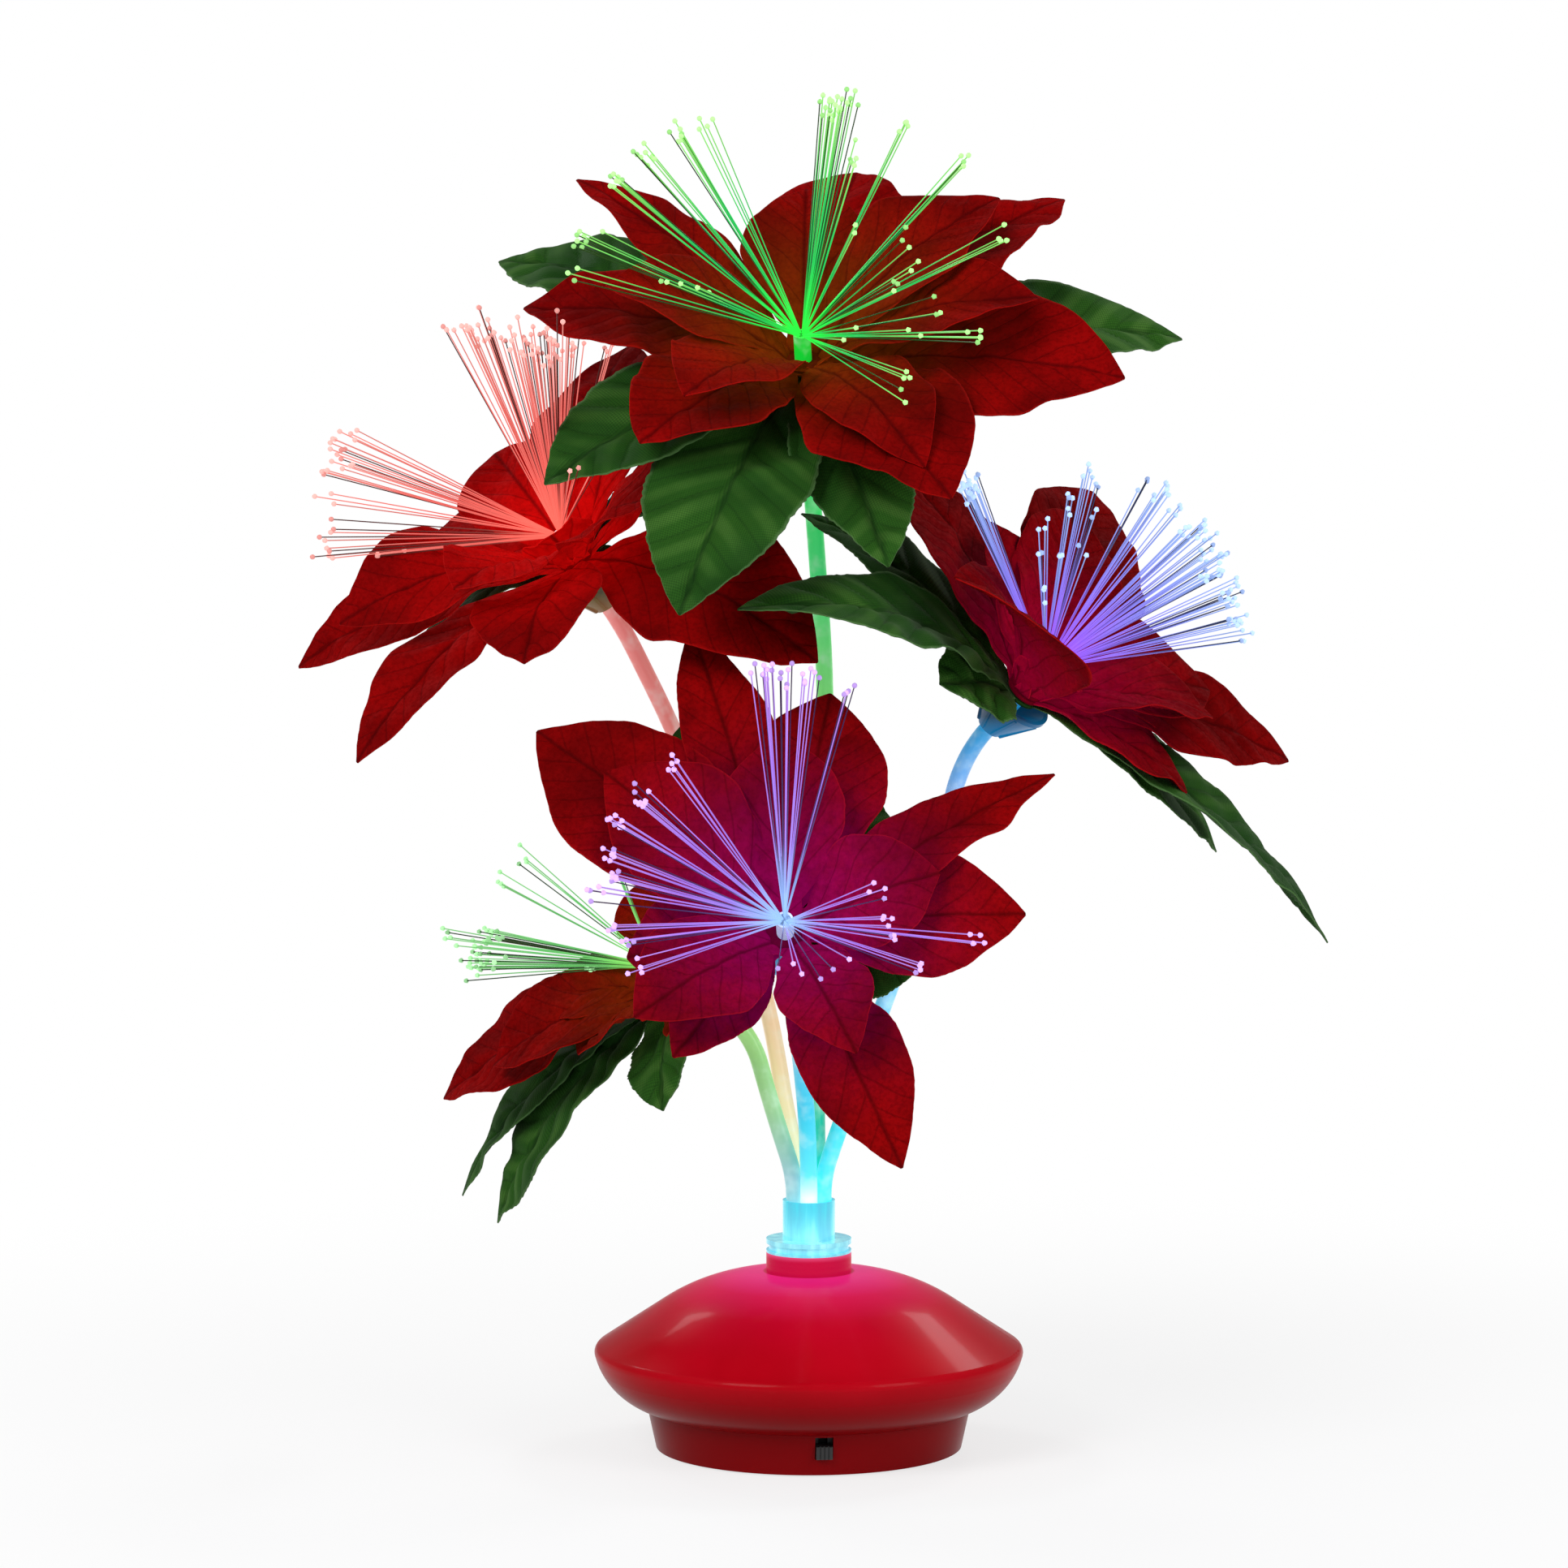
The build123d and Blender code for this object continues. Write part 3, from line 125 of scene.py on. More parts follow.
# Each flower's frame, its blades as (azimuth, tilt, length, width, roll, bow, skew), of which the
# last three may be left out, and its tufts of fibres as (azimuth, tilt, strands).
FLOWERS = {
    "top": {
        "hub": (-1.4, 2.0, 278.5),
        "axis": (-0.05, -0.52, 0.85),
        "outer": [
            (136, 73, 84, 20), (80, 85, 84, 42), (33, 77, 84, 42, -8), (345, 86, 84, 48, 14, 0.06),
            (298, 88, 77, 44), (229, 82, 62, 42), (164, 84, 75, 40),
        ],
        "inner": [
            (88, 70, 56, 32), (31, 66, 66, 36), (352, 71, 64, 36), (297, 86, 66, 30),
            (237, 70, 56, 34), (174, 66, 54, 34),
        ],
        "leaves": [
            (141, 92, 104, 38), (12, 95, 100, 40), (210, 95, 76, 40), (249, 101, 90, 43),
            (286, 101, 74, 30),
        ],
        "tufts": [
            (157, 53, 9), (170, 66, 7), (187, 66, 3), (162, 78, 4), (150, 46, 8), (140, 38, 8),
            (130, 36, 4), (78, 46, 12), (58, 17, 4), (62, 33, 8), (55, 53, 4), (76, 70, 2),
            (320, 19, 3), (297, 35, 2), (312, 42, 3), (310, 49, 2), (302, 51, 3), (313, 59, 3),
            (321, 72, 3), (318, 77, 2), (298, 72, 3), (297, 77, 2), (286, 58, 2), (302, 63, 2),
            (24, 52, 5), (232, 50, 4), (350, 60, 4),
        ],
    },
    "left": {
        "hub": (-59.5, 12.0, 228.0),
        "axis": (-0.52, -0.33, 0.79),
        "outer": [
            (74, 79, 84, 40), (10, 88, 60, 36), (318, 120, 76, 44, 0, 0.14),
            (258, 86, 55, 36, -22), (222, 88, 83, 25, -24), (174, 84, 82, 26, -34),
            (126, 82, 62, 38),
        ],
        "inner": [
            (108, 66, 49, 34), (40, 70, 54, 32), (318, 72, 50, 34), (203, 68, 64, 34, -40),
            (236, 62, 44, 34, -30), (275, 40, 16, 20),
        ],
        "leaves": [(104, 99, 70, 36), (42, 101, 56, 34), (150, 98, 66, 34)],
        "tufts": [
            (73, 10, 2), (41, 11, 2), (86, 29, 3), (84, 34, 3), (88, 46, 4), (85, 50, 4),
            (79, 57, 6), (81, 65, 4), (73, 61, 3), (67, 60, 3), (74, 71, 4), (68, 71, 3),
            (61, 75, 3), (67, 22, 2), (4, 16, 3), (0, 20, 3), (329, 24, 4), (326, 30, 3),
            (333, 32, 3), (358, 32, 3),
            (328, 38, 4), (333, 40, 4), (330, 45, 3), (340, 49, 4), (313, 71, 5), (302, 67, 2),
            (168, 34, 6), (172, 38, 6), (176, 43, 5), (197, 36, 3), (182, 50, 3), (185, 54, 3),
            (187, 59, 3), (190, 68, 5), (191, 71, 3),
        ],
    },
    "right": {
        "hub": (54.8, -6.0, 196.0),
        "axis": (0.60, -0.42, 0.68),
        "outer": [
            (133, 82, 68, 42), (81, 78, 84, 40), (30, 84, 66, 36), (14, 81, 82, 28, 14),
            (338, 79, 49, 28, -10),
        ],
        "inner": [
            (203, 62, 54, 44, 24, 0.16, 0.38), (90, 68, 58, 34), (128, 66, 44, 28),
            (22, 72, 54, 34), (355, 62, 48, 38, -20), (270, 38, 15, 20),
        ],
        "leaves": [
            (193, 98, 84, 34, 25, 0.15), (148, 98, 74, 28), (214, 90, 32, 28),
            (347, 91, 104, 34, -24), (8, 101, 80, 30),
        ],
        "tufts": [
            (176, 71, 4), (180, 68, 5), (182, 65, 5), (186, 64, 4), (182, 61, 5), (174, 60, 3),
            (185, 57, 6), (181, 29, 3), (93, 67, 3), (88, 74, 2), (197, 35, 2), (204, 35, 3),
            (211, 30, 2), (211, 44, 3), (221, 43, 3), (225, 38, 2), (220, 48, 2), (229, 57, 3),
            (80, 53, 4), (184, 9, 4), (75, 53, 4), (69, 55, 4), (252, 7, 3), (61, 55, 5),
            (279, 9, 4), (56, 56, 5), (51, 57, 5), (54, 60, 4), (300, 17, 4), (285, 19, 4),
            (302, 23, 4), (49, 62, 5), (41, 59, 5), (40, 65, 4), (306, 27, 4), (35, 65, 4),
            (303, 30, 3), (31, 67, 4),
        ],
    },
    "front": {
        "hub": (-6.0, -48.0, 138.0),
        "axis": (-0.03, -0.86, 0.50),
        "outer": [
            (139, 86, 83, 40), (106, 85, 86, 24), (80, 87, 66, 38), (31, 86, 79, 22, -34),
            (2, 84, 60, 34), (294, 87, 70, 27), (232, 82, 45, 22), (190, 86, 40, 32),
        ],
        "inner": [
            (141, 72, 60, 36), (91, 72, 50, 32), (14, 71, 42, 32), (294, 68, 47, 24),
            (220, 68, 51, 31),
        ],
        "leaves": [
            (112, 105, 76, 34), (66, 104, 52, 30), (184, 102, 36, 26), (350, 102, 34, 26),
        ],
        "tufts": [
            (144, 32, 5), (161, 36, 9), (170, 42, 8), (182, 42, 7), (190, 42, 6), (193, 47, 6),
            (205, 48, 5), (213, 46, 4), (220, 49, 4), (94, 62, 9), (89, 62, 7), (82, 62, 7),
            (72, 63, 4), (325, 28, 4), (320, 34, 4), (317, 39, 3), (338, 59, 5), (316, 49, 4),
            (298, 36, 2), (273, 36, 2), (280, 38, 2),
        ],
    },
    "low": {
        "hub": (-33.0, 2.0, 120.0),
        "axis": (-0.74, -0.38, 0.55),
        "outer": [
            (172, 81, 82, 32), (90, 86, 38, 26), (60, 84, 34, 26), (300, 84, 34, 24),
            (350, 86, 46, 32),
        ],
        "inner": [
            (186, 70, 54, 34), (170, 66, 38, 22), (84, 72, 36, 26), (222, 66, 33, 24),
            (306, 72, 42, 28),
        ],
        "leaves": [(187, 98, 90, 36), (175, 96, 103, 18), (248, 98, 36, 26), (92, 102, 42, 24)],
        "tufts": [
            (141, 74, 8), (146, 76, 12), (151, 78, 12), (153, 82, 9), (119, 68, 4), (128, 68, 4),
            (272, 30, 4), (265, 34, 3), (150, 60, 5), (60, 40, 4),
        ],
    },
}

# Light in the fibres of each flower, as linear red, green and blue: at the heart, along the
# strands and in the tips, the painted light that it casts on the velvet, the velvet's colour near
# the heart with the fibres' painted light in it, and how far in millimetres the cast and the
# heart's colour reach.
FIBRE_LIGHT = {
    "top": {
        "heart": (0.03, 0.90, 0.06), "strand": (0.02, 0.52, 0.10), "tip": (0.30, 0.85, 0.16),
        "cast": (0.060, 0.013, 0.0), "near": (0.17, 0.019, 0.001), "reach": 28.0, "core": 11.0,
    },
    "left": {
        "heart": (1.00, 0.16, 0.12), "strand": (0.74, 0.13, 0.11), "tip": (0.90, 0.28, 0.24),
        "cast": (0.30, 0.001, 0.001), "near": (0.48, 0.002, 0.002), "reach": 30.0, "core": 14.0,
    },
    "right": {
        "heart": (0.32, 0.09, 0.90), "strand": (0.20, 0.25, 0.72), "tip": (0.32, 0.50, 0.95),
        "cast": (0.13, 0.0, 0.016), "near": (0.26, 0.001, 0.010), "reach": 25.0, "core": 26.0,
    },
    "front": {
        "heart": (0.30, 0.52, 0.95), "strand": (0.36, 0.18, 0.78), "tip": (0.55, 0.30, 0.95),
        "cast": (0.13, 0.0, 0.055), "near": (0.17, 0.001, 0.030), "reach": 28.0, "core": 13.0,
    },
    "low": {
        "heart": (0.28, 0.80, 0.14), "strand": (0.12, 0.48, 0.13), "tip": (0.28, 0.72, 0.26),
        "cast": (0.05, 0.012, 0.0), "near": (0.18, 0.008, 0.001), "reach": 20.0, "core": 12.0,
    },
}

# Glow of each stem tube from the sleeve upwards, as (height, colour).
STEM_GLOW = {
    "top": [
        (50, (0.10, 0.80, 0.84)), (66, (0.02, 0.62, 0.55)), (82, (0.01, 0.45, 0.30)),
        (120, (0.08, 0.60, 0.16)), (165, (0.33, 0.80, 0.20)), (225, (0.06, 0.72, 0.20)),
        (285, (0.0, 0.72, 0.03)),
    ],
    "left": [
        (50, (0.30, 0.80, 0.85)), (70, (0.80, 0.75, 0.50)), (90, (0.88, 0.66, 0.42)),
        (118, (0.88, 0.55, 0.34)), (150, (0.66, 0.19, 0.17)), (220, (0.72, 0.20, 0.19)),
    ],
    "right": [
        (50, (0.10, 0.78, 0.88)), (90, (0.02, 0.64, 0.76)), (125, (0.16, 0.44, 0.82)),
        (160, (0.26, 0.42, 0.85)), (185, (0.02, 0.30, 0.62)),
    ],
    "front": [
        (50, (0.10, 0.75, 0.85)), (64, (0.80, 1.00, 1.00)), (71, (0.08, 0.70, 0.82)),
        (90, (0.01, 0.50, 0.70)), (125, (0.30, 0.60, 0.86)), (145, (0.52, 0.58, 0.92)),
    ],
    "low": [
        (50, (0.30, 0.75, 0.80)), (70, (0.22, 0.45, 0.50)), (88, (0.30, 0.58, 0.26)),
        (118, (0.30, 0.62, 0.14)),
    ],
}

# Each calyx cup's own colour, and the light in it at the joint with its stem.
CALYX_COLOURS = {
    "right": ((0.001, 0.006, 0.026), (0.002, 0.14, 0.32)),
    "top": ((0.01, 0.10, 0.02), (0.05, 0.45, 0.06)),
    "left": ((0.02, 0.05, 0.01), (0.16, 0.06, 0.03)),
    "front": ((0.01, 0.05, 0.10), (0.10, 0.35, 0.60)),
    "low": ((0.01, 0.10, 0.02), (0.15, 0.45, 0.08)),
}

# Zones of the red shell, each from where its colour starts to where it is full: the dark foot,
# the glow round the neck, and the collar with its rings and lip.
FOOT_Z = (30, 12)
GLOW_R = (60, 8)
GLOW_Z = (24, 44)
COLLAR_R = (12.0, 11.4)
COLLAR_Z = (40, 42)
LIP_Z = (49, 51.5)
RING_PITCH = 1.7

# Body, slots and nodes by their names in the record, and the finishes of the nodes in the base
# and the neck.
BOUQUET = "bouquet"
LAYER_NODES = {
    "leaves": ("leaves", "green_cloth"),
    "outer": ("outer_bracts", "red_velvet"),
    "inner": ("inner_bracts", "red_velvet"),
}
NODE_FINISHES = {
    "upper_shell": "red_shell", "lower_shell": "red_shell", "battery_door": "red_shell",
    "case_screws": "steel", "board_screws": "steel", "contact_springs": "steel",
    "contact_plates": "steel", "battery_cells": "cell", "switch_body": "black",
    "switch_knob": "black", "led_board": "board", "board_chips": "black", "leds": "lamp",
    "light_cup": "white", "red_wire": "wire_red", "black_wire": "wire_black",
    "switch_wire": "wire_white", "neck_plug": "plug", "stem_sleeve": "sleeve",
}


# Shader graphs

class Graph:
    """Adds nodes to one node tree and joins them by socket."""

    def __init__(self, tree):
        self.tree = tree

    def node(self, kind, inputs=None, **settings):
        made = self.tree.nodes.new(kind)
        for name, value in settings.items():
            setattr(made, name, value)
        for socket, value in (inputs or {}).items():
            self.put(made, socket, value)
        return made

    def put(self, node, socket, value):
        if isinstance(value, bpy.types.NodeSocket):
            self.tree.links.new(value, node.inputs[socket])
        else:
            node.inputs[socket].default_value = value

    def math(self, operation, a, b=0.0, clamp=False):
        made = self.node("ShaderNodeMath", {0: a, 1: b}, operation=operation, use_clamp=clamp)
        return made.outputs[0]

    def mix(self, factor, a, b):
        made = self.node("ShaderNodeMix", data_type="RGBA")
        for socket, value in ((0, factor), (6, a), (7, b)):
            self.put(made, socket, rgba(value) if isinstance(value, tuple) else value)
        return made.outputs[2]

    def span(self, value, low, high, to_low=0.0, to_high=1.0):
        """Value carried smoothly from one range to another."""
        made = self.node(
            "ShaderNodeMapRange",
            {
                "Value": value, "From Min": low, "From Max": high,
                "To Min": to_low, "To Max": to_high,
            },
            interpolation_type="SMOOTHSTEP",
        )
        return made.outputs["Result"]

    def zone(self, value, ends):
        """Value carried smoothly from 0 to 1 between two places in millimetres."""
        return self.span(value, ends[0] * MM, ends[1] * MM)

    def ramp(self, value, stops):
        made = self.node("ShaderNodeValToRGB", {"Fac": value})
        elements = made.color_ramp.elements
        while len(elements) < len(stops):
            elements.new(0.5)
        for element, (place, colour) in zip(elements, stops):
            element.position = place
            element.color = rgba(colour)
        return made.outputs["Color"]

    def noise(self, vector, scale, detail=3.0):
        made = self.node(
            "ShaderNodeTexNoise",
            {"Vector": vector, "Scale": scale, "Detail": detail, "Roughness": 0.55},
        )
        return made.outputs["Fac"]

    def attribute(self, name, output="Vector"):
        return self.node("ShaderNodeAttribute", attribute_name=name).outputs[output]

    def place(self):
        """Point on the piece, which stays with it when its body moves."""
        return self.node("ShaderNodeTexCoord").outputs["Object"]

    def split(self, vector):
        return self.node("ShaderNodeSeparateXYZ", {0: vector}).outputs

    def group(self, effect, inputs):
        return self.node("ShaderNodeGroup", inputs, node_tree=effect)


def rgba(colour):
    return (*colour[:3], 1.0)


def effect_group(name, inputs, outputs):
    """Empty shader group: its tree, its graph, its inputs' sockets and its output node."""
    tree = bpy.data.node_groups.new(name, "ShaderNodeTree")
    for label, kind, value in inputs:
        socket = tree.interface.new_socket(label, in_out="INPUT", socket_type=kind)
        if value is not None:
            socket.default_value = value
    for label, kind in outputs:
        tree.interface.new_socket(label, in_out="OUTPUT", socket_type=kind)
    graph = Graph(tree)
    start = graph.node("NodeGroupInput")
    end = graph.node("NodeGroupOutput")
    return tree, graph, start.outputs, end


FLOAT = "NodeSocketFloat"
VECTOR = "NodeSocketVector"
COLOUR = "NodeSocketColor"


def make_leaf_veins():
    """Midrib and side veins of a petal or leaf, from its cloth coordinates in millimetres."""
    tree, graph, given, end = effect_group(
        "leaf_veins",
        [("Cloth", VECTOR, None), ("Spacing", FLOAT, 8.0), ("Slant", FLOAT, 1.1),
         ("Width", FLOAT, 1.0)],
        [("Midrib", FLOAT), ("Side Veins", FLOAT), ("Between", FLOAT)],
    )
    split = graph.split(given["Cloth"])
    out = graph.math("ABSOLUTE", split["Y"])
    midrib = graph.span(out, given["Width"], 0.0)
    along = graph.math("SUBTRACT", split["X"], graph.math("MULTIPLY", out, given["Slant"]))
    turn = graph.math("FRACT", graph.math("DIVIDE", along, given["Spacing"]))
    off_middle = graph.math("ABSOLUTE", graph.math("SUBTRACT", turn, 0.5))
    from_vein = graph.math("SUBTRACT", 0.5, off_middle)
    distance = graph.math("MULTIPLY", from_vein, given["Spacing"])
    lines = graph.span(distance, graph.math("MULTIPLY", given["Width"], 0.7), 0.0)
    graph.put(end, "Midrib", midrib)
    graph.put(end, "Side Veins", lines)
    graph.put(end, "Between", graph.span(from_vein, 0.0, 0.5))
    return tree


def make_cloth_weave():
    """Height of a plain weave laid across the cloth's grain."""
    tree, graph, given, end = effect_group(
        "cloth_weave", [("Cloth", VECTOR, None), ("Pitch", FLOAT, 0.7)], [("Height", FLOAT)]
    )
    turned = graph.node(
        "ShaderNodeMapping", {"Vector": given["Cloth"], "Rotation": (0.0, 0.0, 0.7)}
    ).outputs[0]
    split = graph.split(turned)
    rate = graph.math("DIVIDE", 2 * math.pi, given["Pitch"])
    waves = [graph.math("SINE", graph.math("MULTIPLY", split[axis], rate)) for axis in ("X", "Y")]
    product = graph.math("MULTIPLY", waves[0], waves[1])
    height = graph.node(
        "ShaderNodeMath", {0: product, 1: 0.5, 2: 0.5}, operation="MULTIPLY_ADD"
    ).outputs[0]
    graph.put(end, "Height", height)
    return tree


def make_moulded_plastic():
    """Faint flow marks of moulded plastic, as a roughness and a height."""
    tree, graph, given, end = effect_group(
        "moulded_plastic",
        [("Roughness", FLOAT, 0.3), ("Variation", FLOAT, 0.1), ("Scale", FLOAT, 60.0)],
        [("Roughness", FLOAT), ("Height", FLOAT)],
    )
    place = graph.place()
    cloud = graph.noise(place, given["Scale"])
    swing = graph.math("MULTIPLY", graph.math("SUBTRACT", cloud, 0.5), given["Variation"])
    graph.put(end, "Roughness", graph.math("ADD", given["Roughness"], swing, clamp=True))
    graph.put(end, "Height", graph.noise(place, graph.math("MULTIPLY", given["Scale"], 14.0)))
    return tree


def make_cast_light():
    """Painted light that the fibres throw on what stands round the heart of a flower."""
    tree, graph, given, end = effect_group(
        "cast_light",
        [("Nearness", FLOAT, 0.0), ("Colour", COLOUR, (1, 1, 1, 1)), ("Cloth", VECTOR, None)],
        [("Light", COLOUR)],
    )
    streaks = graph.noise(given["Cloth"], 0.35, detail=2.0)
    strength = graph.math("MULTIPLY", given["Nearness"], graph.span(streaks, 0.2, 0.8, 0.6, 1.2))
    graph.put(end, "Light", graph.mix(strength, (0.0, 0.0, 0.0), given["Colour"]))
    return tree


LEAF_VEINS = make_leaf_veins()
CLOTH_WEAVE = make_cloth_weave()
MOULDED_PLASTIC = make_moulded_plastic()
CAST_LIGHT = make_cast_light()


def new_finish(name, **values):
    """Material with one Principled shader whose plain sockets hold the values; returns both."""
    material = bpy.data.materials.new(name)
    material.use_nodes = True
    graph = Graph(material.node_tree)
    shader = material.node_tree.nodes["Principled BSDF"]
    for label, value in values.items():
        socket = label.replace("_", " ")
        graph.put(shader, socket, rgba(value) if isinstance(value, tuple) else value)
    return material, graph, shader


def bump(graph, height, strength, distance):
    inputs = {"Height": height, "Strength": strength, "Distance": distance}
    return graph.node("ShaderNodeBump", inputs).outputs["Normal"]


def moulded_grain(graph, shader, roughness, variation, scale=60.0):
    """Sets the roughness from the flow marks of moulded plastic; returns their height."""
    grain = graph.group(
        MOULDED_PLASTIC, {"Roughness": roughness, "Variation": variation, "Scale": scale}
    ).outputs
    graph.put(shader, "Roughness", grain["Roughness"])
    return grain["Height"]


def vein_mask(graph, cloth, layer, width, midrib, side):
    """Strength of the painted shade in the layer's vein grooves, and how far between two of them a
    point lies.
    """
    style = LAYERS[layer]
    veins = graph.group(LEAF_VEINS, {
        "Cloth": cloth, "Spacing": style["vein_spacing"], "Slant": style["vein_slant"],
        "Width": width,
    }).outputs
    dark = graph.math(
        "MAXIMUM", graph.math("MULTIPLY", veins["Midrib"], midrib),
        graph.math("MULTIPLY", veins["Side Veins"], side),
    )
    return dark, veins["Between"]


# Finishes of the flowers

def velvet(flower_name):
    """Deep red velvet with darker veins, which are painted shade in their creases, and a brighter
    cut edge; the fibres' painted light tints it round the heart.
    """
    light = FIBRE_LIGHT[flower_name]
    material, graph, shader = new_finish(
        flower_name + "_red_velvet", Sheen_Weight=0.06, Sheen_Roughness=0.35,
        Sheen_Tint=(0.6, 0.01, 0.01), Specular_IOR_Level=0.02, Emission_Strength=1.0,
    )
    cloth = graph.attribute("cloth")
    nearness = graph.attribute("nearness", "Fac")
    vein, _ = vein_mask(graph, cloth, "outer", 0.9, 0.6, 0.36)
    nap = graph.noise(graph.place(), 900.0, detail=2.0)
    shade = graph.noise(graph.place(), 48.0)
    pile = graph.mix(graph.span(shade, 0.3, 0.72), (0.125, 0.0005, 0.0008), (0.265, 0.001, 0.0012))
    # Painted light of the fibres: round the heart the velvet takes its flower's near colour.
    pile = graph.mix(graph.math("MULTIPLY", nearness, 0.9, clamp=True), pile, light["near"])
    pile = graph.mix(graph.span(nap, 0.35, 0.75, 0.0, 0.4), pile, (0.060, 0.0003, 0.0006))
    # Painted shade: the vein creases are darker.
    pile = graph.mix(vein, pile, (0.040, 0.0003, 0.0008))
    rim = graph.split(cloth)["Z"]
    pile = graph.mix(graph.span(rim, 0.965, 1.0, 0.0, 0.35), pile, (0.50, 0.008, 0.006))
    graph.put(shader, "Base Color", pile)
    graph.put(shader, "Roughness", graph.span(nap, 0.2, 0.8, 0.72, 0.95))
    # Painted light that the fibres cast on the velvet, given as emission.
    thrown = graph.group(
        CAST_LIGHT, {"Nearness": nearness, "Cloth": cloth, "Colour": rgba(light["cast"])},
    ).outputs["Light"]
    # Painted shade: the cast light is left out of the vein creases.
    graph.put(shader, "Emission Color", graph.mix(vein, thrown, (0.0, 0.0, 0.0)))
    height = graph.math("SUBTRACT", graph.math("MULTIPLY", nap, 0.35), vein)
    graph.put(shader, "Normal", bump(graph, height, 0.5, 0.4 * MM))
    return material


def leaf_cloth():
    """Printed green leaf cloth: fine weave, a paler edge, darker veins as painted shade in their
    grooves, and between them a paler middle as painted sheen on the pillows.
    """
    material, graph, shader = new_finish(
        "green_leaf_cloth", Sheen_Weight=0.10, Sheen_Roughness=0.35, Sheen_Tint=(0.35, 0.55, 0.25),
        Specular_IOR_Level=0.08,
    )
    cloth = graph.attribute("cloth")
    dark, between = vein_mask(graph, cloth, "leaves", 1.2, 0.5, 0.26)
    weave = graph.group(CLOTH_WEAVE, {"Cloth": cloth, "Pitch": 0.8}).outputs["Height"]
    cloud = graph.noise(graph.place(), 30.0)
    green = graph.mix(graph.span(cloud, 0.3, 0.7), (0.010, 0.056, 0.005), (0.026, 0.104, 0.010))
    # Painted sheen: the pillows between the veins are paler.
    pillow_sheen = graph.math(
        "MULTIPLY", graph.span(between, 0.45, 1.0), graph.span(cloud, 0.35, 0.7)
    )
    green = graph.mix(graph.math("MULTIPLY", pillow_sheen, 0.8), green, (0.062, 0.165, 0.026))
    # Painted shade: the vein grooves are darker.
    green = graph.mix(dark, green, (0.003, 0.020, 0.003))
    green = graph.mix(graph.span(weave, 0.1, 0.9, 0.0, 0.45), green, (0.002, 0.016, 0.002))
    rim = graph.split(cloth)["Z"]
    green = graph.mix(graph.span(rim, 0.94, 1.0, 0.0, 0.55), green, (0.10, 0.20, 0.07))
    graph.put(shader, "Base Color", green)
    graph.put(shader, "Roughness", graph.span(cloud, 0.3, 0.7, 0.68, 0.85))
    height = graph.math("SUBTRACT", graph.math("MULTIPLY", weave, 0.4), dark)
    graph.put(shader, "Normal", bump(graph, height, 0.5, 0.35 * MM))
    return material


def lit_fibre():
    """Plastic fibre that carries coloured light: the colour and its strength follow the strand."""
    material, graph, shader = new_finish(
        "lit_fibre", Roughness=0.3, Emission_Strength=1.0, Specular_IOR_Level=0.2,
    )
    light = graph.attribute("light", "Color")
    body = graph.attribute("body", "Color")
    flow = graph.noise(graph.place(), 260.0)
    graph.put(shader, "Base Color", graph.mix(graph.span(flow, 0.2, 0.8, 0.0, 0.2), body, light))
    graph.put(shader, "Emission Color", light)
    return material


def glowing_stem(flower_name):
    """Milky plastic tube with the colour of the light inside it, changing with height."""
    stops = STEM_GLOW[flower_name]
    material, graph, shader = new_finish(
        flower_name + "_stem_plastic", Coat_Weight=0.20, Coat_Roughness=0.15,
        Emission_Strength=0.5, Specular_IOR_Level=0.4,
    )
    place = graph.place()
    height = graph.split(place)["Z"]
    low, high = stops[0][0], stops[-1][0]
    share = graph.node(
        "ShaderNodeMapRange", {"Value": height, "From Min": low * MM, "From Max": high * MM}
    ).outputs["Result"]
    colour = graph.ramp(share, [((z - low) / (high - low), glow) for z, glow in stops])
    cloud = graph.noise(place, 220.0, detail=2.0)
    colour = graph.mix(graph.span(cloud, 0.42, 0.85, 0.0, 0.28), colour, (0.80, 0.95, 0.90))
    graph.put(shader, "Base Color", colour)
    graph.put(shader, "Emission Color", colour)
    moulded_grain(graph, shader, 0.35, 0.2)
    graph.put(shader, "Normal", bump(graph, cloud, 0.12, 0.2 * MM))
    return material


# Finishes of the base and the small parts

def moulded(name, colour, roughness, other=None, **values):
    """Moulded plastic, wire jacket or coated metal with a faint mottle."""
    material, graph, shader = new_finish(name, **values)
    height = moulded_grain(graph, shader, roughness, 0.12)
    other = other or tuple(0.8 * c for c in colour)
    cloud = graph.noise(graph.place(), 120.0)
    graph.put(shader, "Base Color", graph.mix(graph.span(cloud, 0.3, 0.7), colour, other))
    graph.put(shader, "Normal", bump(graph, height, 0.12, 0.1 * MM))
    return material


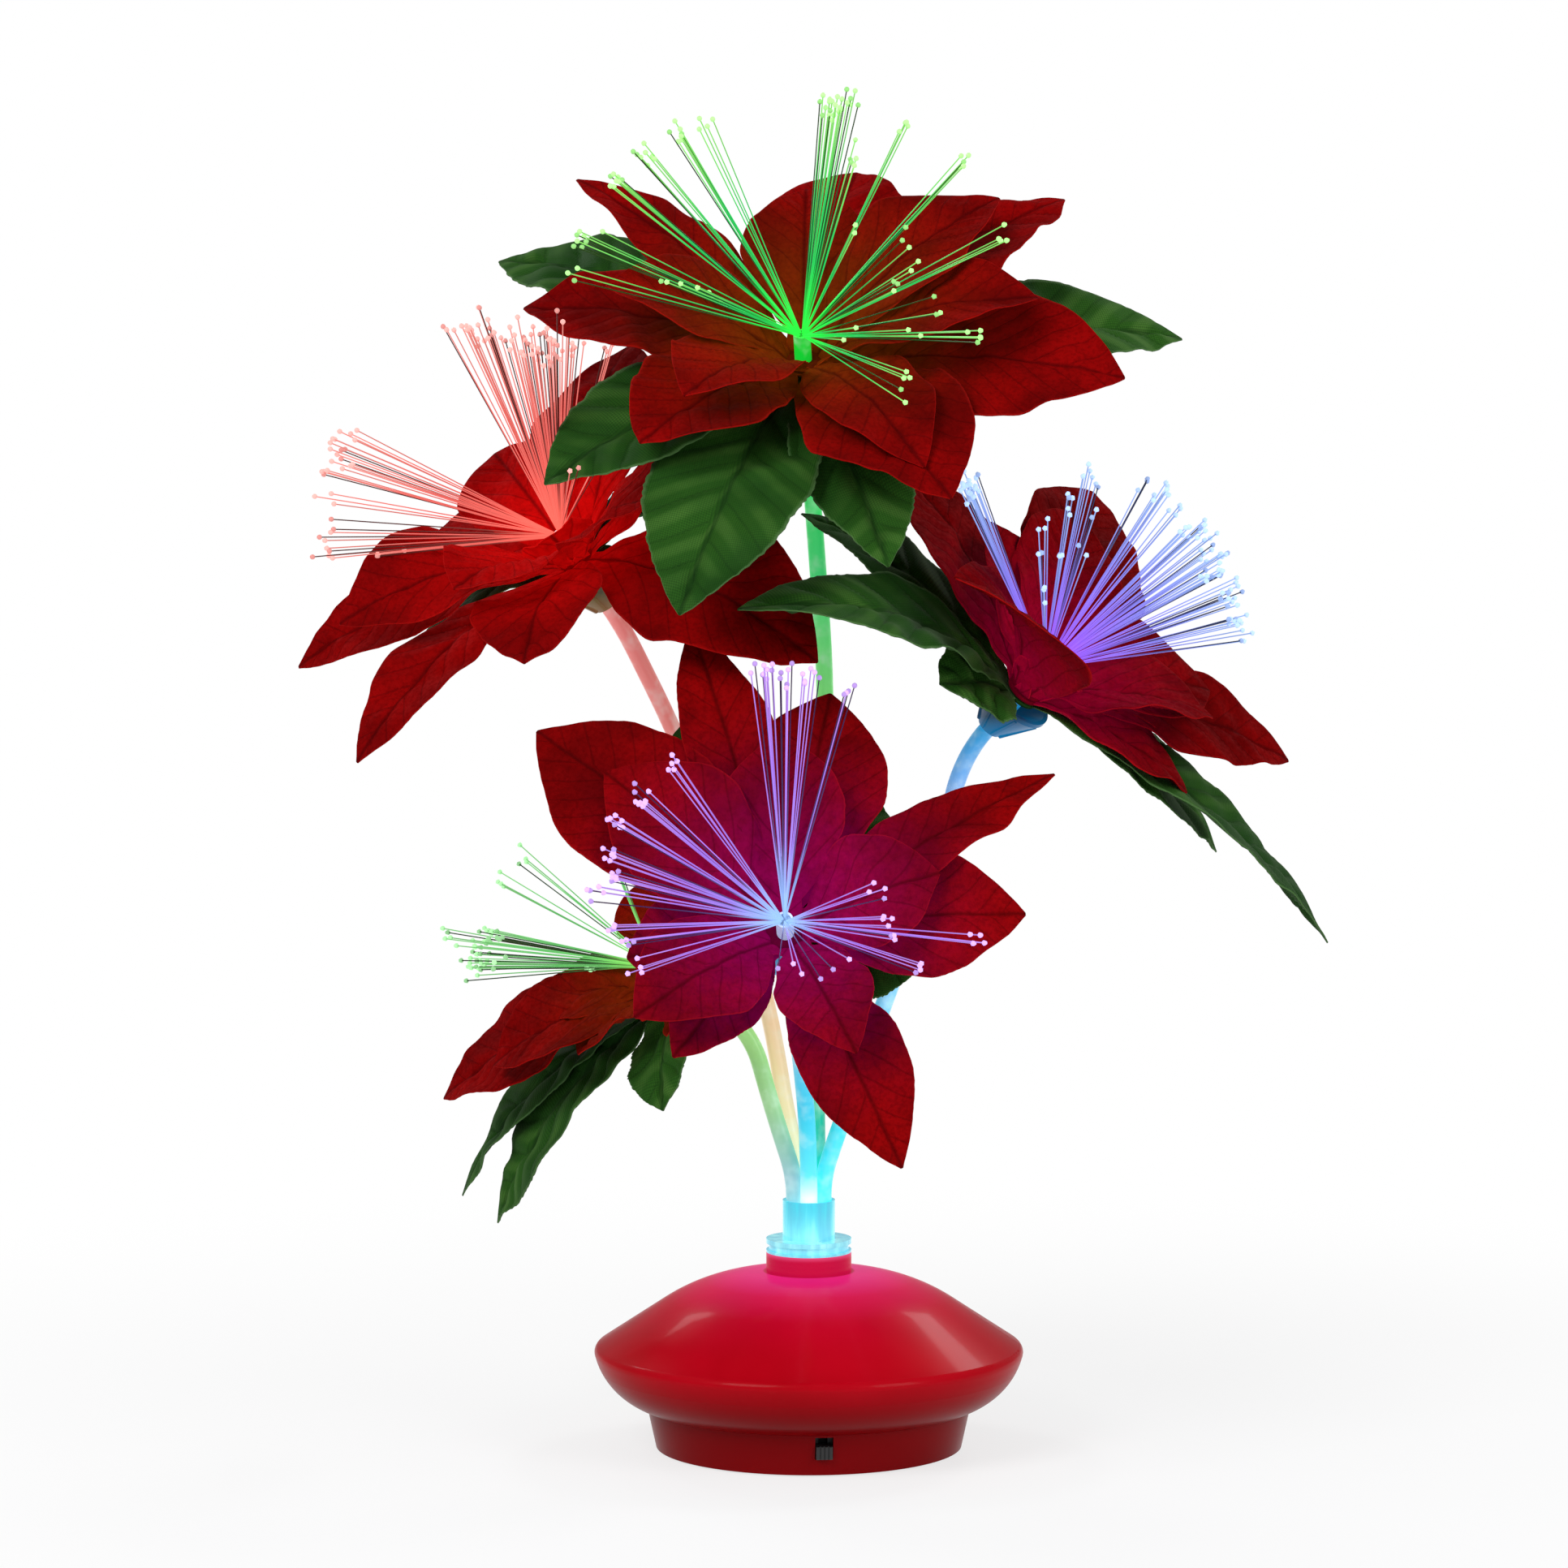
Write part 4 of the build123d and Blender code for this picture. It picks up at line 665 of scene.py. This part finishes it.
def red_shell():
    """Glossy red shell, lit from within round the neck, with fine rings round the collar."""
    material, graph, shader = new_finish(
        "glossy_red_shell", Coat_Weight=0.05, Coat_Roughness=0.08, Emission_Strength=1.0,
        Specular_IOR_Level=0.03,
    )
    place = graph.place()
    split = graph.split(place)
    flat = graph.node("ShaderNodeCombineXYZ", {"X": split["X"], "Y": split["Y"]}).outputs[0]
    radius = graph.node("ShaderNodeVectorMath", {0: flat}, operation="LENGTH").outputs["Value"]
    cloud = graph.noise(place, 25.0)
    red = graph.mix(graph.span(cloud, 0.3, 0.7), (0.40, 0.0008, 0.006), (0.47, 0.0010, 0.009))
    red = graph.mix(graph.zone(split["Z"], FOOT_Z), red, (0.20, 0.0006, 0.002))
    graph.put(shader, "Base Color", red)
    share = graph.math("MULTIPLY", graph.zone(radius, GLOW_R), graph.zone(split["Z"], GLOW_Z))
    glow = graph.ramp(
        share,
        [(0.0, (0.0, 0.0, 0.0)), (0.35, (0.09, 0.0, 0.012)), (0.7, (0.26, 0.002, 0.060)),
         (0.94, (0.42, 0.014, 0.17)), (1.0, (0.44, 0.018, 0.18))],
    )
    collar = graph.math(
        "MULTIPLY", graph.zone(radius, COLLAR_R), graph.zone(split["Z"], COLLAR_Z)
    )
    glow = graph.mix(collar, glow, (0.20, 0.003, 0.045))
    lip = graph.math("MULTIPLY", graph.zone(split["Z"], LIP_Z), collar)
    glow = graph.mix(graph.math("MULTIPLY", lip, 0.7), glow, (0.80, 0.16, 0.42))
    graph.put(shader, "Emission Color", glow)
    marks = moulded_grain(graph, shader, 0.30, 0.08, 45.0)
    rings = graph.math("SINE", graph.math("MULTIPLY", split["Z"], 2 * math.pi / (RING_PITCH * MM)))
    rings = graph.math("MULTIPLY", graph.math("MULTIPLY", rings, collar), 9.0)
    height = graph.math("ADD", rings, marks)
    graph.put(shader, "Normal", bump(graph, height, 0.06, 0.1 * MM))
    return material


def lit_bundle(flower_name):
    """Butt of the fibre bundle at a flower's heart, full of its light."""
    heart = FIBRE_LIGHT[flower_name]["heart"]
    material, graph, shader = new_finish(
        flower_name + "_fibre_bundle", Roughness=0.4, Emission_Strength=0.7,
        Specular_IOR_Level=0.2,
    )
    cells = graph.node("ShaderNodeTexVoronoi", {"Vector": graph.place(), "Scale": 900.0})
    core = graph.span(cells.outputs["Distance"], 0.1, 0.6)
    colour = graph.mix(core, heart, tuple(0.45 * c for c in heart))
    graph.put(shader, "Base Color", graph.mix(0.6, colour, (0.0, 0.0, 0.0)))
    graph.put(shader, "Emission Color", colour)
    return material


def lit_clear(name, low, high, heights, strength):
    """Clear plastic full of the lamps' light, from one colour to another between two heights."""
    material, graph, shader = new_finish(
        name, Coat_Weight=0.4, Coat_Roughness=0.06, Emission_Strength=strength,
        Specular_IOR_Level=0.4,
    )
    place = graph.place()
    height = graph.split(place)["Z"]
    colour = graph.mix(graph.zone(height, heights), low, high)
    drawn = graph.node("ShaderNodeMapping", {"Vector": place, "Scale": (1.0, 1.0, 0.12)}).outputs[0]
    cloud = graph.noise(drawn, 260.0)
    colour = graph.mix(graph.span(cloud, 0.35, 0.6, 0.5, 0.0), colour, (0.06, 0.36, 0.56))
    colour = graph.mix(graph.span(cloud, 0.5, 0.8, 0.0, 0.35), colour, (0.60, 1.0, 1.0))
    graph.put(shader, "Base Color", colour)
    graph.put(shader, "Emission Color", colour)
    moulded_grain(graph, shader, 0.15, 0.1)
    return material


def calyx_plastic(name, deep, lit, foot_z, top_z):
    """Translucent cup under a flower, brighter at the joint with its stem."""
    material, graph, shader = new_finish(
        name, Coat_Weight=0.1, Coat_Roughness=0.2, Emission_Strength=1.0, Specular_IOR_Level=0.2,
    )
    place = graph.place()
    height = graph.split(place)["Z"]
    share = graph.span(height, top_z, foot_z)
    cloud = graph.noise(place, 180.0)
    brighter = tuple(2.0 * c for c in deep)
    graph.put(shader, "Base Color", graph.mix(graph.span(cloud, 0.3, 0.7), deep, brighter))
    glow = graph.ramp(
        share, [(0.0, (0.0, 0.0, 0.0)), (0.75, tuple(0.2 * c for c in lit)), (1.0, lit)],
    )
    graph.put(shader, "Emission Color", glow)
    moulded_grain(graph, shader, 0.35, 0.15)
    return material


# Blades

def unit(vector):
    return vector / np.linalg.norm(vector)


class Bloom:
    """Frame of one flower: hub, axis and two directions across it, in millimetres."""

    def __init__(self, name):
        self.name = name
        self.data = FLOWERS[name]
        self.hub = np.array(self.data["hub"])
        self.axis = unit(np.array(self.data["axis"]))
        self.right = unit(np.array((1.0, 0.0, 0.0)) - self.axis * self.axis[0])
        self.up = np.cross(self.axis, self.right)
        self.heart = self.hub + self.axis * SPRAY_CENTRE

    def outward(self, azimuth):
        angle = math.radians(azimuth)
        return self.right * math.cos(angle) + self.up * math.sin(angle)

    def aim(self, azimuth, tilt):
        lean = math.radians(tilt)
        return self.outward(azimuth) * math.sin(lean) + self.axis * math.cos(lean)


def wave(rng, amount, rates):
    """Smooth seeded wave: a function that sums sines of the given rates."""
    parts = [(amount / (1 + i), rate * rng.uniform(0.85, 1.15), rng.uniform(0, 2 * math.pi))
             for i, rate in enumerate(rates)]
    return lambda x: sum(a * np.sin(2 * math.pi * r * x + p) for a, r, p in parts)


def half_width(share, width, root_width):
    root = root_width / 2 * (1 - share)
    body = width / 2 * np.maximum(np.sin(math.pi * share ** WIDEST), 0.0) ** FULLNESS
    return np.maximum(np.maximum(root, body), TIP_W / 2)


def smooth_step(value, low, high):
    t = np.clip((value - low) / (high - low), 0.0, 1.0)
    return t * t * (3 - 2 * t)


def blade_outline(style, width, skew, s, c, rng):
    """Half width at each step along a blade, and each point's distance to the side."""
    margin = wave(rng, MARGIN_SWELL, (1.3, 2.9, 5.3))
    other_margin = wave(rng, MARGIN_SWELL, (1.5, 2.6, 4.9))
    swell = np.where(c < 0, margin(s), other_margin(s)) * smooth_step(s, 0.05, 0.3)
    half = half_width(s, width, style["root"])
    half = half * (1 + swell * (half > TIP_W))
    y = c * half * (1 + skew * np.sign(c))
    fray = np.array([[rng.uniform(-1, 1), rng.uniform(-1, 1)] for _ in s])
    fray = np.where(c < 0, fray[:, :1], fray[:, 1:]) * style["fray"]
    y = y + np.sign(c) * np.abs(c) ** 12 * fray * smooth_step(half, *FRAY_HALF)
    return half, y


def blade_relief(style, length, s, c, half, y, rng):
    """Each point's place along the veins, and its height from pillows, veins and folds."""
    edge = np.abs(c)
    spacing = style["vein_spacing"]
    drift = wave(rng, VEIN_DRIFT * spacing, (1.1, 2.3))
    x = s * length + drift(s) + np.where(c < 0, 0.0, 0.5 * spacing)
    vein_phase = (x - np.abs(y) * style["vein_slant"]) / spacing % 1.0
    from_vein = 0.5 - np.abs(vein_phase - 0.5)
    inside = smooth_step(half, *RELIEF_HALF)
    pillow = np.sin(math.pi * from_vein) ** 0.8 * smooth_step(edge, 0.02, 0.3) * (1 - edge ** 4)
    groove = np.exp(-((from_vein * spacing / VEIN_W) ** 2)) * (1 - edge ** 3)
    folds = wave(rng, style["wrinkle"], (2.1, 3.7))
    cross_folds = wave(rng, style["wrinkle"], (0.045, 0.085))
    margin_wave = wave(rng, style["margin_wave"], (1.6, 3.1))
    other_wave = wave(rng, style["margin_wave"], (1.9, 2.7))
    relief = style["pucker"] * pillow * inside
    relief = relief - style["vein"] * groove * inside
    relief = relief - style["midrib"] * np.exp(-((y / MIDRIB_W) ** 2)) * inside
    folded = folds(s + 0.2 * c) * edge + cross_folds(x + 0.8 * y)
    relief = relief + folded * FOLD_SHARE * inside
    edge_lift = np.where(c < 0, margin_wave(s), other_wave(s)) * edge ** 2.5 * inside
    return x, style["cup"] * half * edge ** 2 + relief + edge_lift


def sheet_faces(rows, columns):
    """Quads of a closed sheet: its upper side, its lower side and the strip round its edge."""
    count = (rows + 1) * (columns + 1)
    index = np.arange(count).reshape(rows + 1, columns + 1)
    a, b = index[:-1, :-1], index[1:, :-1]
    d, e = index[:-1, 1:], index[1:, 1:]
    upper = np.stack([a, b, e, d], -1).reshape(-1, 4)
    lower = np.stack([a, d, e, b], -1).reshape(-1, 4) + count
    strips = [upper, lower]
    edges = ((index[:, 0], False), (index[:, -1], True), (index[0], True), (index[-1], False))
    for line, flip in edges:
        first, second = line[:-1], line[1:]
        quad = [first, first + count, second + count, second]
        strips.append(np.stack(quad[::-1] if flip else quad, -1))
    return np.concatenate(strips)


def blade(bloom, layer, row, seed):
    """One petal or leaf as (points, faces, cloth coordinates), in millimetres."""
    style = LAYERS[layer]
    # Roll, bow and skew, of which a short row leaves out the last ones.
    usual = (0, style["bow"], 0.0)
    azimuth, tilt, length, width, roll, bow, skew = (*row, *usual[len(row) - 4:])
    rng = random.Random(seed)
    rows, columns = style["rows"], style["columns"]
    s = np.linspace(0.0, 1.0, rows + 1)[:, None]
    c = np.linspace(-1.0, 1.0, columns + 1)[None, :]
    half, y = blade_outline(style, width, skew, s, c, rng)
    x, height = blade_relief(style, length, s, c, half, y, rng)

    out = bloom.outward(azimuth)
    along = bloom.aim(azimuth, tilt)
    lean = math.radians(tilt)
    face = bloom.axis * math.sin(lean) - out * math.cos(lean)
    across = np.cross(face, along)
    centre = bloom.hub + bloom.axis * style["height"]
    root = centre + out * ROOT_R
    tip = centre + along * length

    twist = np.radians(roll) * s
    side = across * np.cos(twist) + face * np.sin(twist)
    normal = face * np.cos(twist) - across * np.sin(twist)
    middle = root + (tip - root) * s + face * (bow * length * 4 * s * (1 - s))
    edge = np.abs(c)
    thick = style["thickness"] * (1 - EDGE_THINNING * edge ** 2)
    sheet = middle[:, None, :] + side[:, None, :] * y[..., None]
    top = sheet + normal[:, None, :] * (height + thick / 2)[..., None]
    bottom = sheet + normal[:, None, :] * (height - thick / 2)[..., None]
    points = np.concatenate([top.reshape(-1, 3), bottom.reshape(-1, 3)])
    cloth = np.stack([x + 0 * y, y, edge + 0 * s], -1).reshape(-1, 3)
    return points, sheet_faces(rows, columns), np.concatenate([cloth, cloth])


def hub_disc(bloom, height):
    """Ring of cloth on the stem that the blades of one layer grow from."""
    count = HUB_DISC_SIDES
    angles = np.arange(count) * 2 * math.pi / count
    round_about = bloom.right * np.cos(angles)[:, None] + bloom.up * np.sin(angles)[:, None]
    loops = [(STEM_R, 0.5), (HUB_DISC_R, 0.5), (HUB_DISC_R, -0.5), (STEM_R, -0.5)]
    points = np.concatenate([
        bloom.hub + bloom.axis * (height + share * HUB_DISC_T) + round_about * radius
        for radius, share in loops
    ])
    faces = []
    for loop in range(len(loops)):
        here, there = loop * count, (loop + 1) % len(loops) * count
        for i in range(count):
            j = (i + 1) % count
            faces.append((here + i, there + i, there + j, here + j))
    return points, np.array(faces), np.zeros((len(points), 3))


def joined(parts):
    """Several (points, faces, ...) meshes as one, with their per-point columns."""
    columns = [np.concatenate(column) for column in list(zip(*parts))[2:]]
    starts = np.cumsum([0] + [len(p[0]) for p in parts[:-1]])
    points = np.concatenate([p[0] for p in parts])
    faces = []
    for part, start in zip(parts, starts):
        faces += (np.asarray(part[1]) + start).tolist()
    return points, faces, columns


def mesh_piece(name, points, faces, material):
    mesh = bpy.data.meshes.new(name)
    mesh.from_pydata((points * MM).tolist(), [], faces)
    mesh.shade_smooth()
    piece = bpy.data.objects.new(name, mesh)
    bpy.context.scene.collection.objects.link(piece)
    mesh.materials.append(material)
    return piece


def store(piece, name, kind, values):
    attribute = piece.data.attributes.new(name, kind, "POINT")
    label = {"FLOAT": "value", "FLOAT_VECTOR": "vector", "FLOAT_COLOR": "color"}[kind]
    attribute.data.foreach_set(label, np.asarray(values, np.float32).ravel())


def make_blades(bloom, layer, material, node):
    """All petals or leaves of one layer, as one piece on its hub ring."""
    parts = [
        blade(bloom, layer, row, "%s %s %d" % (bloom.name, layer, i))
        for i, row in enumerate(bloom.data[layer])
    ]
    parts.append(hub_disc(bloom, LAYERS[layer]["height"]))
    points, faces, (cloth,) = joined(parts)
    piece = mesh_piece(bloom.name + "_" + layer + "_cloth", points, faces, material)
    store(piece, "cloth", "FLOAT_VECTOR", cloth)
    # Share of the fibres' painted light at each point, less far from the heart and below the hub.
    distance = np.linalg.norm(points - bloom.heart, axis=1)
    above = smooth_step((points - bloom.hub) @ bloom.axis, *LIT_HEIGHT)
    reach = FIBRE_LIGHT[bloom.name]["reach"]
    store(piece, "nearness", "FLOAT", np.exp(-((distance / reach) ** 2)) * above)
    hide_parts(node)
    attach(piece, BOUQUET)
    return piece


# Fibre sprays

def ray_target(objects):
    """Search tree of several meshes, in millimetres."""
    points, faces, start = [], [], 0
    for piece in objects:
        mesh = piece.data
        co = np.zeros(len(mesh.vertices) * 3, np.float32)
        mesh.vertices.foreach_get("co", co)
        points += (co.reshape(-1, 3) / MM).tolist()
        faces += [[v + start for v in polygon.vertices] for polygon in mesh.polygons]
        start += len(mesh.vertices)
    return BVHTree.FromPolygons(points, faces)


def strand_lines(bloom, target):
    """Start, aim, length and brightness of each strand, kept clear of the petals and stems."""
    rng = random.Random(bloom.name + " fibres")
    aims = []
    for azimuth, tilt, count in bloom.data["tufts"]:
        for _ in range(count):
            turn = rng.gauss(0, TUFT_SPREAD) / max(0.3, math.sin(math.radians(tilt)))
            aims.append((azimuth + turn, tilt + rng.gauss(0, TUFT_SPREAD), rng.random()))
    lines = []
    for azimuth, tilt, bright in aims:
        length = STRAND_LENGTH * rng.uniform(*LENGTH_SPREAD)
        for lift in LIFTS:
            along = bloom.aim(azimuth, max(LEAST_TILT, tilt - lift))
            root = bloom.outward(azimuth) * SPRAY_R * math.sin(math.radians(min(tilt, 80)))
            start = bloom.hub + bloom.axis * SPRAY_BASE + root * rng.uniform(*ROOT_SPREAD)
            hit = target.ray_cast(Vector(start + along * RAY_START), Vector(along), length)
            if hit[0] is None:
                break
        if hit[0] is not None:
            length = hit[3] + RAY_START - CLEARANCE
        if length > SHORTEST_STRAND:
            lines.append((start, along, length, bright))
    return lines


def ring_of(centre, along, radius):
    """Points round a centre line, for many lines at once."""
    helper = np.where(np.abs(along[:, 2:3]) > 0.9, (1.0, 0.0, 0.0), (0.0, 0.0, 1.0))
    u = np.cross(along, helper)
    u /= np.linalg.norm(u, axis=1)[:, None]
    v = np.cross(along, u)
    angles = np.arange(STRAND_SIDES) * 2 * math.pi / STRAND_SIDES
    wheel = u[:, None] * np.cos(angles)[None, :, None] + v[:, None] * np.sin(angles)[None, :, None]
    return centre[:, None, :] + wheel * radius


def strand_faces(count, stations):
    """Faces of several strands, each a closed tube of that many rings."""
    per = stations * STRAND_SIDES
    faces = []
    for base in range(0, count * per, per):
        for k in range(stations - 1):
            for j in range(STRAND_SIDES):
                n = (j + 1) % STRAND_SIDES
                a, b = base + k * STRAND_SIDES, base + (k + 1) * STRAND_SIDES
                faces.append([a + j, a + n, b + n, b + j])
        faces.append([base + j for j in range(STRAND_SIDES)][::-1])
        faces.append([base + per - STRAND_SIDES + j for j in range(STRAND_SIDES)])
    return faces


def make_spray(bloom, target):
    """Fan of lit strands with a bright bead at each tip."""
    lines = strand_lines(bloom, target)
    start = np.array([line[0] for line in lines])
    along = np.array([line[1] for line in lines])
    length = np.array([line[2] for line in lines])[:, None]
    bright = np.array([line[3] for line in lines])
    light = FIBRE_LIGHT[bloom.name]
    heart, strand, tip = (np.array(light[key]) for key in ("heart", "strand", "tip"))
    # Light in the strand, in its plastic's own colour and in its bead. Dark strands keep a trace;
    # they stand for unlit fibres and, as painted shade, for the dark gaps between lit strands.
    dark = bright < DARK_SHARE
    level = np.where(dark, 0.05, 0.55 + 0.45 * bright)[:, None]
    tint = np.where(dark, 0.10, 0.35)[:, None]
    bead_level = np.where(dark, 0.6, 1.0)[:, None]
    rings, glows, bodies = [], [], []

    def add_ring(centre, radius, glow, body):
        rings.append(ring_of(centre, along, radius))
        glows.append(np.repeat(glow[:, None, :], STRAND_SIDES, 1))
        bodies.append(np.repeat(body[:, None, :], STRAND_SIDES, 1))

    for share in STRAND_STATIONS:
        near = math.exp(-((share * STRAND_LENGTH / light["core"]) ** 2))
        far = max(0.0, (share - TIP_FROM) / (1 - TIP_FROM))
        colour = heart * near + (1 - near) * (strand * (1 - far) + tip * far)
        glow = colour * (level + (1 - level) * near)
        add_ring(start + along * length * share, STRAND_R, glow, colour * tint)
    bead = 0.85 * tip + 0.15
    for height, girth in BEAD_RINGS:
        centre = start + along * (length + height * BEAD_R)
        add_ring(centre, BEAD_R * girth, bead * bead_level, 0.6 * tip * bead_level)

    points = np.stack(rings, 1).reshape(-1, 3)
    faces = strand_faces(len(lines), len(rings))
    piece = mesh_piece(bloom.name + "_lit_fibres", points, faces, FINISHES["lit_fibre"])
    for name, colours in (("light", glows), ("body", bodies)):
        rows = np.stack(colours, 1).reshape(-1, 3)
        store(piece, name, "FLOAT_COLOR", np.concatenate([rows, np.ones((len(rows), 1))], 1))
    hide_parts(bloom.name + "_fibre_spray")
    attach(piece, BOUQUET)
    return piece


FINISHES = {
    "red_shell": red_shell(),
    "lit_fibre": lit_fibre(),
    "leaf": leaf_cloth(),
    "plug": lit_clear("lit_neck_plug", (0.10, 0.56, 0.68), (0.22, 0.68, 0.74), (48, 54), 0.5),
    "sleeve": lit_clear("lit_stem_sleeve", (0.26, 0.76, 0.82), (0.03, 0.56, 0.68), (50, 64), 0.5),
    "black": moulded("black_plastic", (0.006, 0.006, 0.007), 0.4, (0.012, 0.012, 0.012)),
    "steel": moulded("plated_steel", (0.55, 0.55, 0.56), 0.28, (0.42, 0.42, 0.43), Metallic=1.0),
    "cell": moulded("cell_jacket", (0.03, 0.05, 0.09), 0.3, (0.05, 0.08, 0.13)),
    "board": moulded("green_circuit_board", (0.01, 0.10, 0.03), 0.4, (0.015, 0.14, 0.04)),
    "white": moulded("white_plastic", (0.75, 0.74, 0.70), 0.4, (0.68, 0.67, 0.64)),
    "lamp": lit_clear("lit_lamps", (0.5, 0.9, 0.95), (0.9, 1.0, 1.0), (29, 35), 1.0),
    "wire_red": moulded("red_wire_jacket", (0.45, 0.01, 0.01), 0.45),
    "wire_black": moulded("black_wire_jacket", (0.01, 0.01, 0.01), 0.45),
    "wire_white": moulded("white_wire_jacket", (0.7, 0.7, 0.68), 0.45),
}


def finish_node(node, material):
    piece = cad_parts[node]
    for place in piece.material_slots:
        place.material = material


for node_name, finish_name in NODE_FINISHES.items():
    finish_node(node_name, FINISHES[finish_name])

blooms = [Bloom(name) for name in FLOWERS]
cloth_pieces = []
for bloom in blooms:
    bract_finish = velvet(bloom.name)
    for layer_name, (node_end, slot_name) in LAYER_NODES.items():
        finish = FINISHES["leaf"] if layer_name == "leaves" else bract_finish
        cloth_pieces.append(
            make_blades(bloom, layer_name, finish, bloom.name + "_" + node_end)
        )
    finish_node(bloom.name + "_stem_tube", glowing_stem(bloom.name))
    finish_node(bloom.name + "_fibre_bundle", lit_bundle(bloom.name))
    low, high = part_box(bloom.name + "_calyx")
    deep, lit = CALYX_COLOURS[bloom.name]
    finish_node(
        bloom.name + "_calyx",
        calyx_plastic(bloom.name + "_calyx_plastic", deep, lit, low.z, high.z),
    )

stems = [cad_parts[bloom.name + "_stem_tube"] for bloom in blooms]
obstacles = ray_target(cloth_pieces + stems)
for bloom in blooms:
    make_spray(bloom, obstacles)


# Floor, background, light and camera

# In metres and watts: the point that the lamps aim at, and each lamp's name, place, size, power.
LIT_POINT = Vector((0.0, 0.0, 0.16))
LAMPS = (
    ("key", (-0.75, -1.0, 1.05), (0.7, 0.7), 13.0),
    ("fill", (0.95, -0.85, 0.6), (0.6, 0.8), 7.0),
    ("back", (-0.62, 0.75, 0.85), (0.30, 0.22), 2.4),
    ("back", (0.62, 0.75, 0.85), (0.30, 0.22), 2.4),
)


def make_floor():
    """Pale floor, which the camera and reflections see as white, wholly so far from the object."""
    reach = 6.0
    drop = -0.4 * MM
    shadow = (70 * MM, 450 * MM)
    white_in_shadow = 0.72
    mesh = bpy.data.meshes.new("floor")
    corners = [(-reach, -reach), (reach, -reach), (reach, reach), (-reach, reach)]
    mesh.from_pydata([(x, y, drop) for x, y in corners], [], [(0, 1, 2, 3)])
    floor = bpy.data.objects.new("floor", mesh)
    bpy.context.scene.collection.objects.link(floor)
    material, graph, shader = new_finish(
        "pale_floor", Base_Color=(0.86, 0.86, 0.87), Roughness=0.9, Specular_IOR_Level=0.0,
    )
    away = graph.node("ShaderNodeVectorMath", {0: graph.place()}, operation="LENGTH")
    clean = graph.span(away.outputs["Value"], *shadow, white_in_shadow, 1.0)
    white = graph.node("ShaderNodeEmission", {"Color": rgba((1, 1, 1)), "Strength": 1.0})
    path = graph.node("ShaderNodeLightPath").outputs
    seen = graph.math(
        "MAXIMUM", path["Is Camera Ray"],
        graph.math("MAXIMUM", path["Is Glossy Ray"], path["Is Transmission Ray"]),
    )
    blend = graph.node(
        "ShaderNodeMixShader",
        {0: graph.math("MULTIPLY", seen, clean), 1: shader.outputs[0], 2: white.outputs[0]},
    )
    graph.put(material.node_tree.nodes["Material Output"], "Surface", blend.outputs[0])
    mesh.materials.append(material)


def make_background():
    """World that the camera sees as white, and that lights the object less than that."""
    skylight = 0.38
    world = bpy.data.worlds.new("studio")
    bpy.context.scene.world = world
    world.use_nodes = True
    graph = Graph(world.node_tree)
    path = graph.node("ShaderNodeLightPath").outputs
    seen = graph.math("MAXIMUM", path["Is Camera Ray"], path["Is Transmission Ray"])
    strength = graph.math("ADD", graph.math("MULTIPLY", seen, 1 - skylight), skylight)
    background = world.node_tree.nodes["Background"]
    graph.put(background, "Color", rgba((1, 1, 1)))
    graph.put(background, "Strength", strength)


def area_light(name, place, size, power):
    """Rectangular lamp aimed at the middle of the object."""
    lamp = bpy.data.lights.new(name, "AREA")
    lamp.shape = "RECTANGLE"
    lamp.size, lamp.size_y = size
    lamp.energy = power
    holder = bpy.data.objects.new(name, lamp)
    bpy.context.scene.collection.objects.link(holder)
    holder.location = place
    holder.rotation_mode = "QUATERNION"
    holder.rotation_quaternion = (LIT_POINT - Vector(place)).to_track_quat("-Z", "Y")


def make_camera():
    target = Vector((-0.0064, 0.0, 0.1715))
    distance = 1.5
    elevation = math.radians(5.0)
    data = bpy.data.cameras.new("camera")
    data.sensor_width = 36.0
    data.lens = 134.4
    camera = bpy.data.objects.new("camera", data)
    bpy.context.scene.collection.objects.link(camera)
    camera.location = target + distance * Vector((0, -math.cos(elevation), math.sin(elevation)))
    camera.rotation_mode = "QUATERNION"
    camera.rotation_quaternion = (target - camera.location).to_track_quat("-Z", "Y")
    bpy.context.scene.camera = camera


make_floor()
make_background()
for lamp in LAMPS:
    area_light(*lamp)
make_camera()
bpy.context.scene.view_settings.view_transform = "Standard"
